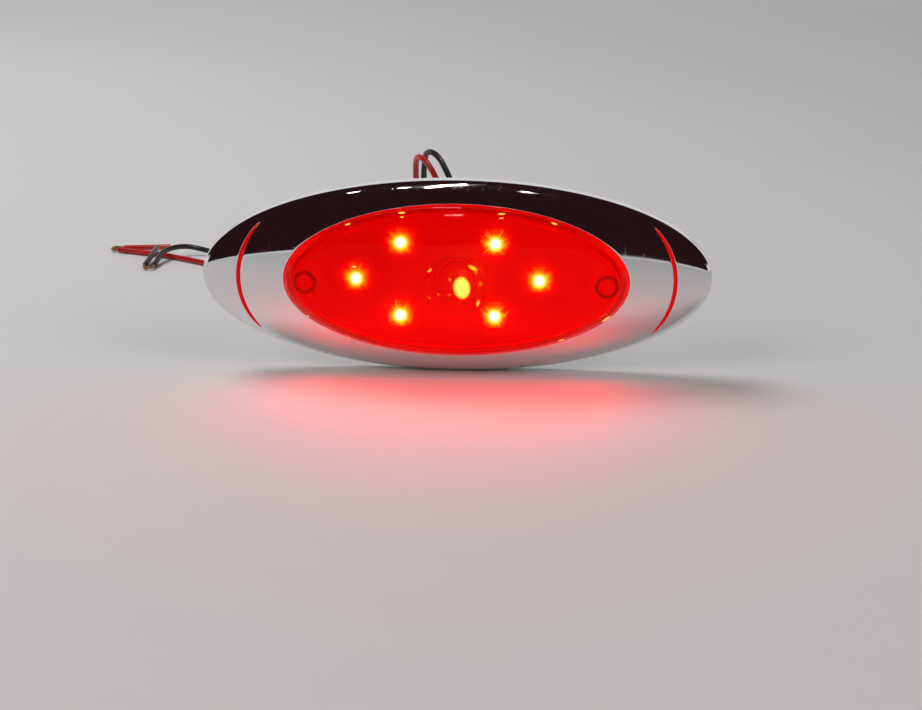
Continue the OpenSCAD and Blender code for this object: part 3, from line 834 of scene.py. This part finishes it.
# The distance in millimetres to the chip of the nearest outer LED, with the depth counted at a share of
# its length, and the same with rays: a noise on the direction from each LED, seen from the front, makes it
# shorter along some ways. The noises of two LEDs lie apart, so that their rays differ.
def fillLedField(tree, given):
    here = vectors(tree, "MULTIPLY", objectPlace(tree), (1000.0, 1000.0, 1000.0))
    depth = ledShape["high"] + ledShape["neck"]
    nearest, rayed = None, None
    for k, (x, z) in enumerate(ledPlaces[:-1]):
        away = vectors(tree, "SUBTRACT", here, (x, -depth, z))
        far = vectors(tree, "LENGTH", vectors(tree, "MULTIPLY", away, (1.0, rayShape["depthShare"], 1.0)))
        way = vectors(tree, "NORMALIZE", vectors(tree, "MULTIPLY", away, (1.0, 0.0, 1.0)))
        way = vectors(tree, "ADD", way, (0.0, rayShape["apart"] * k, 0.0))
        ray = times(tree, minus(tree, noise(tree, way, rayShape["scale"]), 0.5), given["rays"])
        ray = times(tree, ray, smoothly(tree, far, *rayShape["start"]))
        short = times(tree, far, minus(tree, 1.0, ray))
        nearest = smallest(tree, nearest, far) if k else far
        rayed = smallest(tree, rayed, short) if k else short
    return {"distance": nearest, "rayed": rayed}


ledField = makeGroup("ledField", [("rays", "Float", 1.1)], [("distance", "Float"), ("rayed", "Float")],
                     fillLedField)


# A painted glint's mask: 1 in the middle of an oval about (x, z) millimetres, of the given length and height,
# leaning by lean radians, and 0 at its edge.
def fillGlint(tree, given):
    flat = vectors(tree, "MULTIPLY", objectPlace(tree), (1000.0, 0.0, 1000.0))
    middle = addNode(tree, "CombineXYZ", None, {"X": given["x"], "Y": 0.0, "Z": given["z"]}).outputs[0]
    leaning = {"Vector": vectors(tree, "SUBTRACT", flat, middle), "Angle": given["lean"]}
    parts = split(tree, addNode(tree, "VectorRotate", dict(rotation_type="Y_AXIS"), leaning).outputs[0])
    across = over(tree, parts["X"], times(tree, given["length"], 0.5))
    up = over(tree, parts["Z"], times(tree, given["height"], 0.5))
    return {"mask": smoothly(tree, sumOfSquares(tree, across, up), 1.0, 0.25)}


glint = makeGroup("glint", [(label, "Float", 1.0) for label in ("x", "z", "length", "height", "lean")],
                  [("mask", "Float")], fillGlint)


# Several painted glints in one mask.
def glintMask(tree, places):
    mask = None
    for x, z, length, height, lean in places:
        one = useGroup(tree, glint, x=x, z=z, length=length, height=height, lean=lean)["mask"]
        mask = largest(tree, mask, one) if mask else one
    return mask


# Red clear plastic, lit from behind: it lets light through, shines at its surface, and has a little red glow
# painted in it for the LEDs' light. Near the edge, a ramp on the distance from it, which wobbles a little,
# paints a bright line of glow, a dark band of painted shade and a second thin painted line of glow; they show
# below the heights below, in metres. Small orange glints, painted as glow, are the LEDs' images in the rolled
# edge.
def lensMaterial(name, s, edge=None):
    material, tree, shader = newMaterial(name)
    m = useGroup(tree, marks, specks=260.0)
    rough = plus(tree, s["rough"], times(tree, m["hairlines"], s["lineRough"]))
    rough = plus(tree, rough, times(tree, m["dust"], s["dustRough"]))
    place = objectPlace(tree)
    wave = noise(tree, place, s["waves"], 1.0)
    tone = noise(tree, place, s["tones"])
    glow = mixed(tree, smoothly(tree, tone, 0.35, 0.7), s["glowLow"], s["glowHigh"])
    color = mixed(tree, smoothly(tree, tone, 0.3, 0.7), s["colorLow"], s["color"])
    # Painted shade and painted lines of glow near the edge, and painted glints of the LEDs.
    if edge:
        own = split(tree, addNode(tree, "TexCoord").outputs["UV"])
        wobble = times(tree, minus(tree, tone, 0.5), edge["wobble"])
        inwards = plus(tree, own["X"], wobble)
        shade = ramp(tree, inwards, [(at, rgb(v, v, v)) for at, v in edge["paintedEdgeShade"]])
        height = split(tree, place)["Z"]
        shown = times(tree, own["Y"], smoothly(tree, height, *edge["below"]))
        shade = mixed(tree, shown, rgb(1, 1, 1), shade)
        color = mixed(tree, 1.0, color, shade, "MULTIPLY")
        light = mixed(tree, shown, noLight, ramp(tree, inwards, edge["light"]))
        glow = mixed(tree, 1.0, glow, light, "ADD")
        spark = times(tree, glintMask(tree, edge["glints"]), own["Y"])
        glow = mixed(tree, spark, glow, edge["spark"])
    feed(tree, shader, color=color, rough=rough, ior=s["ior"], spec=s["spec"], specTint=s["specTint"],
         through=s["through"], glow=glow, glowLevel=s["glowLevel"],
         normal=bumped(tree, wave, s["waveDepth"], 0.3))
    return material


clearRed = dict(color=rgb(0.88, 0.02, 0.012), colorLow=rgb(0.84, 0.016, 0.01), rough=0.02, ior=1.49,
                spec=0.07, specTint=rgb(0.5, 0.1, 0.1), through=0.92, glowLow=rgb(0.85, 0.0, 0.0),
                glowHigh=rgb(1.0, 0.004, 0.0), glowLevel=0.1, lineRough=0.12, dustRough=0.25, waves=40.0,
                waveDepth=0.00004, tones=26.0)
# The lens edge's painted lines of glow (light), its painted shade, and its painted glints (spark, glints).
lensEdge = dict(
    paintedEdgeShade=[(0.0, 1.0), (0.12, 1.0), (0.15, 0.5), (0.26, 0.55), (0.3, 0.95), (0.34, 0.8), (0.4, 1.0)],
    light=[(0.0, rgb(1.8, 0.02, 0.03)), (0.09, rgb(1.6, 0.02, 0.0)), (0.13, noLight), (0.27, noLight),
           (0.3, rgb(1.2, 0.02, 0.0)), (0.34, noLight)],
    spark=rgb(12.0, 8.0, 1.2), wobble=0.03, below=(0.02, 0.006),
    glints=[(-17.4, 22.9, 2.7, 0.45, 0.1), (-17.2, 21.9, 1.5, 0.35, 0.08), (14.4, 23.1, 2.8, 0.45, 0.0),
            (14.4, 22.1, 1.6, 0.35, 0.0), (-34.6, 18.8, 2.2, 0.45, 0.3), (31.2, 20.0, 2.3, 0.45, -0.28),
            (48.4, -11.2, 4.0, 0.9, 0.6), (34.1, -18.2, 2.4, 0.6, 0.25), (-47.6, -11.9, 1.1, 0.7, -0.6),
            (-34.4, -18.7, 0.9, 0.5, -0.3), (-32.3, 5.9, 1.9, 0.45, 0.0)])
duller = dict(color=rgb(0.45, 0.008, 0.01), colorLow=rgb(0.4, 0.006, 0.008), rough=0.12, through=0.25,
              glowLevel=0.36)
redClear = lensMaterial("redClearPlastic", clearRed, lensEdge)
redRib = lensMaterial("redLightRib", clearRed | duller)


# The lens's tubes: a red glow is painted on them for the light inside the lamp, but their end faces, the
# rings between the radii inner and outer about the points (+-atX, 0), get a darker painted glow, a painted
# shade with an edge that is soft.
def tubeMaterial(s):
    material, tree, shader = newMaterial("redTubePlastic")
    place = objectPlace(tree)
    parts = split(tree, place)
    aside = minus(tree, absolute(tree, parts["X"]), s["atX"] * mm)
    far = root(tree, sumOfSquares(tree, aside, parts["Z"]))
    face = times(tree, smoothly(tree, far, s["inner"] * mm, (s["inner"] + s["soft"]) * mm),
                 smoothly(tree, far, s["outer"] * mm, (s["outer"] - s["soft"]) * mm))
    tone = noise(tree, place, 260.0)
    ring = mixed(tree, smoothly(tree, tone, 0.35, 0.7), s["ringLow"], s["ringHigh"])
    feed(tree, shader, color=s["color"], rough=0.3, ior=1.49, spec=0.05, glowLevel=1.0,
         glow=mixed(tree, face, s["side"], ring), normal=bumped(tree, tone, 0.00001))
    return material


# The tubes' painted red glow on their sides, and a darker painted glow, painted shade, on their end faces.
tube = dict(atX=48.3, inner=2.5, outer=3.9, low=6.2, into=0.6, soft=0.15, color=rgb(0.3, 0.01, 0.01),
            side=rgb(0.5, 0.0, 0.0), ringLow=rgb(0.16, 0.0, 0.0), ringHigh=rgb(0.22, 0.0, 0.0))
redTube = tubeMaterial(tube)
lensPiece = place(makeMesh("redLens", lensGrids(lens), [redClear]), "red_lens", "lens")
flange = makeMesh("lensFlange", flangeGrids(lens), [redRib])
for side in (-1, 1):
    low, high, radius = lens["flangeBack"] - 1, lens["flangeFront"] + 1, lens["holeRadius"]
    hole = [[0, low], [radius, low], [radius, high], [0, high]]
    cutOut(flange, makeMesh("drill", [turned(hole, side * lens["holeX"], 0, 64)], [redRib]))
place(flange, "red_lens")
for side, where in ((-1, "Left"), (1, "Right")):
    place(makeMesh("lightRib" + where, [ribGrid(side, bezel)], [redRib]), "red_lens")
    place(makeMesh("lensTube" + where, [tubeGrid(side * tube["atX"], tube)], [redTube]), "red_lens")
print("lens made,", len(lensPiece.data.polygons), "faces")


# ---- what shows through the lens ----

# The painted glow's rays, halo, wider glow and fill.
glow = dict(rays=1.9, haloReach=5.2, haloFade=(5.2, 4.2), wideReach=8.5,
            halo=[(0.0, rgb(4.0, 100.0, 76.0)), (0.12, rgb(4.0, 95.0, 62.0)), (0.19, rgb(4.0, 84.0, 38.0)),
                  (0.25, rgb(4.0, 72.0, 19.0)), (0.31, rgb(3.6, 58.0, 9.0)), (0.37, rgb(3.0, 45.0, 2.4)),
                  (0.47, rgb(2.8, 31.0, 0.3)), (0.52, rgb(2.2, 20.0, 0.0)), (0.56, rgb(1.5, 12.5, 0.0)),
                  (0.62, rgb(0.6, 6.0, 0.0)), (0.69, rgb(0.25, 2.4, 0.0)), (0.76, rgb(0.1, 1.0, 0.0)),
                  (0.84, rgb(0.03, 0.35, 0.0)), (1.0, noLight)],
            wide=[(0.0, rgb(0.3, 0.0, 0.0)), (0.4, rgb(0.26, 0.0, 0.0)), (1.0, noLight)],
            fillLow=rgb(0.5, 0.0, 0.0), fillHigh=rgb(0.54, 0.0, 0.0))
# The sealed unit's oval, and the dark red painted on lit surfaces inside it for the red light that fills the
# lamp.
sealed = dict(semiX=53.3, semiY=22.7, edge=(1.01, 0.99), soft=0.1, color=rgb(0.33, 0.02, 0.018))


# The glow painted on everything that the LEDs light: yellow and orange rays around an LED, a wider red glow,
# and the red of the light that fills the lamp, which drifts a little in strength.
def lampGlow(tree, s):
    field = useGroup(tree, ledField, rays=s["rays"])
    halo = ramp(tree, over(tree, field["rayed"], s["haloReach"]), s["halo"])
    halo = mixed(tree, smoothly(tree, field["distance"], *s["haloFade"]), noLight, halo)
    wide = ramp(tree, over(tree, field["distance"], s["wideReach"]), s["wide"], "EASE")
    drift = noise(tree, objectPlace(tree), 34.0)
    light = mixed(tree, smoothly(tree, drift, 0.3, 0.7), s["fillLow"], s["fillHigh"])
    return mixed(tree, 1.0, mixed(tree, 1.0, light, wide, "ADD"), halo, "ADD")


# A lit surface: its own colour and grain, and the lamp's glow painted on it. When litFrom is given, the glow
# shows only where it lies inside the sealed unit, which is in front of litFrom and within an oval, and there
# its colour is painted dark red for the red light that fills the lamp.
def litMaterial(name, color, dark, rough, level, litFrom=None, **more):
    material, tree, shader = newMaterial(name)
    g = useGroup(tree, grain, coarse=120.0, fine=2200.0)
    base = mixed(tree, g["tone"], dark, color)
    light = lampGlow(tree, glow)
    if litFrom is not None:
        parts = split(tree, objectPlace(tree))
        across = over(tree, parts["X"], sealed["semiX"] * mm)
        up = over(tree, parts["Z"], sealed["semiY"] * mm)
        inside = times(tree, smoothly(tree, sumOfSquares(tree, across, up), *sealed["edge"]),
                       smoothly(tree, parts["Y"], -litFrom * mm, -(litFrom + sealed["soft"]) * mm))
        light = mixed(tree, inside, noLight, light)
        base = mixed(tree, inside, base, sealed["color"])
    feed(tree, shader, color=base, rough=rough, glow=light, glowLevel=level,
         normal=bumped(tree, g["height"], 0.00001), **more)
    return material


# A solder mask, painted dark red for the red light that fills the lamp, with copper tracks under it, which
# are
# thin lines where a wave is high: they are paler and stand up a little. The lamp's glow is painted on it, and
# the tracks take a share of a flat painted glow.
def boardMaterial(s):
    material, tree, shader = newMaterial("boardMask")
    upright = {"Vector": objectPlace(tree), "Rotation": (math.pi / 2, 0, 0)}
    flat = addNode(tree, "Mapping", None, upright).outputs[0]
    wave = {"Vector": flat, "Scale": s["waves"], "Distortion": 1.2, "Detail": 1.0, "Detail Scale": 0.6}
    tracks = addNode(tree, "TexWave", dict(wave_type="BANDS", bands_direction="Y"), wave).outputs["Fac"]
    lines = smoothly(tree, tracks, *s["line"])
    g = useGroup(tree, grain, coarse=120.0, fine=2600.0)
    base = mixed(tree, g["tone"], s["dark"], s["color"])
    base = mixed(tree, times(tree, lines, s["trackShare"]), base, s["track"])
    light = mixed(tree, times(tree, lines, s["glowShare"]), lampGlow(tree, glow), s["trackGlow"])
    feed(tree, shader, color=base, rough=0.35, glow=light, glowLevel=1.0,
         normal=bumped(tree, plus(tree, g["height"], lines), 0.00002))
    return material


# Clear epoxy: it shows the chip that it covers, with a faint tint that drifts.
def domeMaterial():
    material, tree, shader = newMaterial("ledDome")
    g = useGroup(tree, grain, coarse=300.0, fine=2200.0)
    color = mixed(tree, g["tone"], rgb(1.0, 0.96, 0.9), rgb(1.0, 1.0, 0.96))
    feed(tree, shader, color=color, rough=0.03, ior=1.15, through=1.0, spec=0.2,
         normal=bumped(tree, g["tone"], 0.00001, 0.2))
    return material


# A chip's phosphor: it shines white, a little less in small patches.
def chipMaterial(s):
    material, tree, shader = newMaterial("ledChip")
    g = useGroup(tree, grain, coarse=900.0, fine=4000.0)
    feed(tree, shader, color=rgb(0.8, 0.75, 0.5), rough=0.6, glow=mixed(tree, g["tone"], s["low"], s["high"]),
         glowLevel=1.0)
    return material


# The LED bodies carry the lamp's painted glow all over.
ledBody = litMaterial("ledBody", rgb(0.36, 0.03, 0.025), rgb(0.3, 0.02, 0.018), 0.3, 1.0)
ledDome = domeMaterial()
ledChip = chipMaterial(dict(low=rgb(4.0, 95.0, 150.0), high=rgb(4.0, 110.0, 190.0)))
boardMask = boardMaterial(dict(dark=rgb(0.3, 0.018, 0.016), color=rgb(0.36, 0.024, 0.02),
                               track=rgb(0.42, 0.05, 0.03), trackShare=0.5, trackGlow=rgb(0.25, 0, 0),
                               glowShare=0.1, waves=52.0, line=(0.72, 0.8)))


# A dome turned from its profile: a foot, a short neck and a quarter circle that closes at the top.
def domeProfile(radius, low, middle):
    crown = [[radius * math.cos(q), middle + radius * math.sin(q)] for q in quarterTurn(14)]
    return [[0, low], [radius, low]] + crown


for k, (x, z) in enumerate(ledPlaces):
    s = ledShape
    middle = s["high"] + s["neck"]
    body = block(x, z, s["half"], s["half"], s["low"], s["high"], s["edge"])
    head = turned(domeProfile(s["dome"], s["high"] + s["apart"], middle), x, z, 48, 1)
    chip = turned(domeProfile(s["chip"], s["high"] + 2 * s["apart"], middle), x, z, 32, 2)
    isCenter = k == len(ledPlaces) - 1
    name, node = ("ledCenter", "led_center") if isCenter else (f"led{k + 1}", f"led_{k + 1}")
    finish = [ledBody, ledDome, ledBody if isCenter else ledChip]
    place(makeMesh(name, [body, head, chip], finish), "led_epoxy", node)


# Clear plastic for the center optic. The image of its LED is painted in its front as one yellow patch of
# glow, with painted glints around it.
def opticMaterial(s):
    material, tree, shader = newMaterial("clearOptic")
    g = useGroup(tree, grain, coarse=300.0, fine=1800.0)
    depth = split(tree, objectPlace(tree))["Y"]
    front = smoothly(tree, depth, -s["frontFrom"] * mm, -(s["frontFrom"] + 0.2) * mm)
    # the LED's image and the glints are painted as glow on the optic's front
    light = ramp(tree, glintMask(tree, [s["patch"]]), s["patchLight"])
    light = mixed(tree, glintMask(tree, s["faint"]), light, s["faintSpark"])
    light = mixed(tree, glintMask(tree, s["glints"]), light, s["spark"])
    feed(tree, shader, color=rgb(0.98, 0.9, 0.88), rough=0.015, ior=1.07, through=1.0, spec=0.12,
         glow=mixed(tree, front, noLight, light), glowLevel=1.0, normal=bumped(tree, g["tone"], 0.00003, 0.3))
    return material


clearOptic = opticMaterial(dict(
    frontFrom=14.3, patch=(2.0, -0.7, 6.0, 8.2, 0.12), spark=rgb(6.0, 36.0, 4.0),
    patchLight=[(0.0, noLight), (0.12, rgb(1.0, 5.0, 0.0)), (0.35, rgb(3.0, 36.0, 2.0)),
                (1.0, rgb(4.0, 56.0, 14.0))],
    glints=[(-8.3, 4.6, 1.9, 0.8, 0.7), (5.5, 5.7, 3.8, 1.4, -0.5), (7.2, -5.9, 1.1, 2.6, -0.2)],
    faintSpark=rgb(3.0, 9.0, 1.0),
    faint=[(-1.8, 2.0, 1.2, 1.3, 0.0), (-5.5, -3.1, 0.9, 0.8, 0.0), (-1.9, -3.0, 1.1, 0.8, 0.0),
           (-8.3, -4.4, 0.8, 1.0, 0.0), (7.9, 0.6, 1.4, 1.6, 0.3), (6.4, 4.3, 1.6, 0.8, -0.4)]))
optic = dict(radius=10.0, rim=14.4, crown=14.6, bulge=1.3, ringDepth=0.1, ringWidth=2.5, round=0.5,
             cup=[[0, 12.6], [1.8, 12.2], [3.2, 11], [5.6, 8.8], [5.6, 5.82], [6.8, 5.82], [6.8, 8],
                  [9.98, 13.4]])


# The center optic, a clear cup over the middle LED, in section: the cup's wall and hollow, its rim, and its
# front, which is a parabola that bulges to the middle, with shallow rings, a cosine of their width, on it.
def opticProfile(s):
    cup = rounded(s["cup"], s["round"])
    r = np.linspace(s["radius"], 0.0, 41)[1:]
    front = s["crown"] + s["bulge"] * (1 - (r / s["radius"]) ** 2)
    front += s["ringDepth"] * np.cos(r * 2 * np.pi / s["ringWidth"])
    return np.concatenate([cup, [[s["radius"], s["rim"]]], np.stack([r, front], -1)])


opticPiece = makeMesh("centerOptic", [turned(opticProfile(optic), 0, 0, 120)], [clearOptic])
place(opticPiece, "optic", "center_optic")
print("leds and optic made")


# ---- the base and what it holds ----

# A merged, smoothed copy of a CAD node, which stands for it; its level faces stay flat.
def refined(name, node, material, slot, sharp=28):
    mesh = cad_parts[node].data.copy()
    mesh.name = name
    mesh.materials.clear()
    mesh.materials.append(material)
    tidyMesh(mesh, sharp)
    normals = np.empty(len(mesh.polygons) * 3)
    mesh.polygons.foreach_get("normal", normals)
    mesh.polygons.foreach_set("use_smooth", np.abs(normals[1::3]) < 0.9999)
    return place(addObject(name, mesh), slot, node)


# Light grey moulded plastic, a little darker in patches, with a fine even grain; inside the lamp it is
# painted dark red and carries the lamp's painted glow.
housing = litMaterial("housingPlastic", rgb(0.72, 0.72, 0.7), rgb(0.62, 0.62, 0.6), 0.5, 1.0, litFrom=1.6)
refined("baseHousing", "base_housing", housing, "housing")

# Black foam rubber: nearly black, rough, with small open pores. The rubber is smoother, and the silicone is
# pale.
foam = mouldedMaterial("foamRubber", rgb(0.045, 0.045, 0.047), rgb(0.02, 0.02, 0.021), 0.85, fine=1400.0,
                       depth=0.0002, specks=500.0, dusty=0.5)
blackRubber = mouldedMaterial("blackRubber", rgb(0.035, 0.034, 0.035), rgb(0.018, 0.018, 0.018), 0.55,
                              fine=1800.0, depth=0.00005, specks=500.0, dusty=0.4)
silicone = mouldedMaterial("siliconeSeal", rgb(0.75, 0.75, 0.72), rgb(0.66, 0.65, 0.6), 0.4, fine=900.0)


# The gasket: a flat oval ring, its rounded section carried round.
def gasketGrid(s):
    turn = wholeTurn(240)[None, :]
    section = rounded([[0.5, 0], [1, 0], [1, s["thick"]], [0, s["thick"]], [0, 0], [0.5, 0]], s["edge"])
    share, d = section[:, 0:1], section[:, 1:2]
    x = s["inX"] + share * (s["outX"] - s["inX"])
    y = s["inY"] + share * (s["outY"] - s["inY"])
    return grid(stand(x * np.cos(turn), y * np.sin(turn), d + 0 * turn), True)


gasket = dict(outX=76.8, outY=27.2, inX=71.0, inY=23.6, thick=1.5, edge=0.12)
place(makeMesh("mountingGasket", [gasketGrid(gasket)], [foam]), "gasket_rubber", "mounting_gasket")

# The grommet: a plug in the collar with a flange outside it, and a tapered sleeve round each lead.
grommet = dict(atY=6.0, sleeveX=1.8,
               plug=[[0, 1.8], [4.9, 1.8], [4.9, -6], [6.6, -6], [6.6, -7.5], [0, -7.5]],
               sleeve=[[0, -7.3], [1.95, -7.3], [1.55, -9.6], [1.02, -9.9], [0, -9.9]])
rubber = [turned(rounded(grommet["plug"], 0.5), 0, grommet["atY"], 72)]
for side in (-1, 1):
    rubber.append(turned(rounded(grommet["sleeve"], 0.2), side * grommet["sleeveX"], grommet["atY"], 40))
place(makeMesh("wireGrommet", rubber, [blackRubber]), "gasket_rubber", "wire_grommet")


# Metal finishes: a base colour that dulls in patches, over a fine grain.
def metalMaterial(name, bright, dull, rough, fine=1500.0):
    material, tree, shader = newMaterial(name)
    g = useGroup(tree, grain, coarse=260.0, fine=fine)
    worn = minus(tree, rough + 0.15, times(tree, g["tone"], 0.15))
    feed(tree, shader, color=mixed(tree, g["tone"], dull, bright), metal=1.0, rough=worn,
         normal=bumped(tree, g["height"], 0.00001))
    return material


solder = metalMaterial("brightSolder", rgb(0.78, 0.79, 0.8), rgb(0.55, 0.56, 0.57), 0.2)
# Copies of solder and zinc that carry the lamp's painted glow and are painted dark red inside the sealed
# unit.
litMetal = dict(rough=0.3, level=0.9, litFrom=5.7, metal=1.0)
litSolder = litMaterial("litSolder", rgb(0.78, 0.79, 0.8), rgb(0.55, 0.56, 0.57), **litMetal)
litZinc = litMaterial("litZinc", rgb(0.72, 0.72, 0.73), rgb(0.5, 0.5, 0.52), **litMetal)
chipBlack = mouldedMaterial("chipBlack", rgb(0.035, 0.035, 0.037), rgb(0.02, 0.02, 0.02), 0.45, depth=0.00001)
resin = mouldedMaterial("pottingResin", rgb(0.02, 0.02, 0.022), rgb(0.01, 0.01, 0.011), 0.18, fine=600.0,
                        depth=0.00003, coat=0.4)

# The other CAD nodes keep their shapes and get a finish.
finishes = {
    "circuit_board": boardMask, "lens_seal": silicone, "led_solder": litSolder, "lead_solder": solder,
    "resistor_1": chipBlack, "resistor_2": chipBlack, "resistor_3": chipBlack, "rectifier_diode": chipBlack,
    "board_screws": litZinc, "potting": resin, "red_lead_inner": redPvc, "black_lead_inner": blackPvc}
for node, material in finishes.items():
    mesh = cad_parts[node].data
    mesh.materials.clear()
    mesh.materials.append(material)
print("base made")


# ---- floor, lights and surroundings ----

studio = dict(floorHeight=-31.78, floorSize=9.0, floorColor=rgb(0.7, 0.695, 0.69), floorDark=0.97,
              farFloor=rgb(0.56, 0.557, 0.554), paleFrom=(0.5, 1.6), pale=rgb(0.72, 0.72, 0.73),
              dark=rgb(0.021, 0.007, 0.008), back=(0.25, 0.5), backTop=(0.7, 0.4), side=(-0.35, -0.2),
              sideTop=(0.2, 0.1))


# The floor: one wide flat sheet of pale matt board with a slight mottle. Far from the lamps it takes the
# back wall's tone, wherever it is seen: directly, in the plating or through the lens.
def makeFloor(s):
    material, tree, shader = newMaterial("paleBoard")
    g = useGroup(tree, grain, coarse=3.0, fine=400.0)
    base = mixed(tree, g["tone"], s["floorColor"], rgb(*[s["floorDark"] * v for v in s["floorColor"][:3]]))
    feed(tree, shader, color=base, rough=0.6, spec=0.3)
    ray = addNode(tree, "LightPath").outputs
    seen = largest(tree, ray["Is Glossy Ray"], ray["Is Transmission Ray"])
    seen = largest(tree, ray["Is Camera Ray"], seen)
    away = vectors(tree, "LENGTH", objectPlace(tree))
    share = times(tree, seen, smoothly(tree, away, *s["paleFrom"]))
    tone = addNode(tree, "Emission", None, {"Color": s["farFloor"], "Strength": 1.0}).outputs[0]
    both = addNode(tree, "MixShader", None, {"Fac": share})
    tree.links.new(shader.outputs[0], both.inputs[1])
    tree.links.new(tone, both.inputs[2])
    end = [n for n in tree.nodes if n.bl_idname == "ShaderNodeOutputMaterial"][0]
    tree.links.new(both.outputs[0], end.inputs["Surface"])
    at = np.linspace(-0.5, 0.5, 3) * s["floorSize"]
    x, y = np.meshgrid(at, at)
    z = np.full_like(x, s["floorHeight"] * mm)
    floor = makeMesh("floor", [grid(np.stack([x, y, z], -1))], [material])


# An area light that looks at the lamp; one that is plain shows in no reflection, and any other in nothing
# else.
def makeLight(name, where, wide, high, power, color=(1, 1, 1), aim=(0, 0, 0), plain=True):
    data = bpy.data.lights.new(name, "AREA")
    data.shape, data.size, data.size_y = "RECTANGLE", wide, high
    data.energy, data.color = power, color
    light = addObject(name, data)
    light.location = where
    light.rotation_euler = (Vector(aim) - Vector(where)).to_track_quat("-Z", "Y").to_euler()
    light.visible_camera = light.visible_transmission = False
    light.visible_glossy, light.visible_diffuse = not plain, plain


# The surroundings: a pale back wall, low pale side walls, and a dark room above and in front of the lamp,
# which the plating reflects.
def makeWorld(s):
    world = bpy.data.worlds.new("studio")
    bpy.context.scene.world = world
    world.use_nodes = True
    tree = world.node_tree
    tree.nodes.clear()
    parts = split(tree, addNode(tree, "TexCoord").outputs["Generated"])
    back = times(tree, smoothly(tree, parts["Y"], *s["back"]), smoothly(tree, parts["Z"], *s["backTop"]))
    sides = times(tree, smoothly(tree, parts["Y"], *s["side"]), smoothly(tree, parts["Z"], *s["sideTop"]))
    seen = mixed(tree, largest(tree, back, sides), s["dark"], s["pale"])
    sky = addNode(tree, "Background", None, {"Color": seen, "Strength": 1.0})
    tree.links.new(sky.outputs[0], addNode(tree, "OutputWorld").inputs["Surface"])


makeFloor(studio)
makeWorld(studio)
lights = dict(
    keyBack=dict(where=(-0.55, 0.45, 0.95), wide=0.6, high=0.5, power=7.6),
    fillLeft=dict(where=(-0.9, -0.7, 0.8), wide=0.9, high=0.7, power=5.4),
    fillRight=dict(where=(0.95, -0.6, 0.75), wide=0.8, high=0.7, power=4.2),
    topStrip=dict(where=(-0.055, -0.19, 0.9), wide=0.016, high=0.3, power=3.0, plain=False),
    topSpot1=dict(where=(-0.296, -0.223, 0.9), wide=0.02, high=0.03, power=0.05, plain=False),
    topSpot2=dict(where=(-0.16, -0.28, 0.9), wide=0.02, high=0.03, power=0.05, plain=False),
    topSpot3=dict(where=(0.143, -0.389, 0.9), wide=0.02, high=0.03, power=0.05, plain=False),
    lampLight=dict(where=(0.0, -0.02, 0.0), wide=0.1, high=0.04, power=0.09, color=(1.0, 0.01, 0.005),
                   aim=(0.0, -0.2, -0.06)))
for name, s in lights.items():
    makeLight(name, **s)
print("studio made")
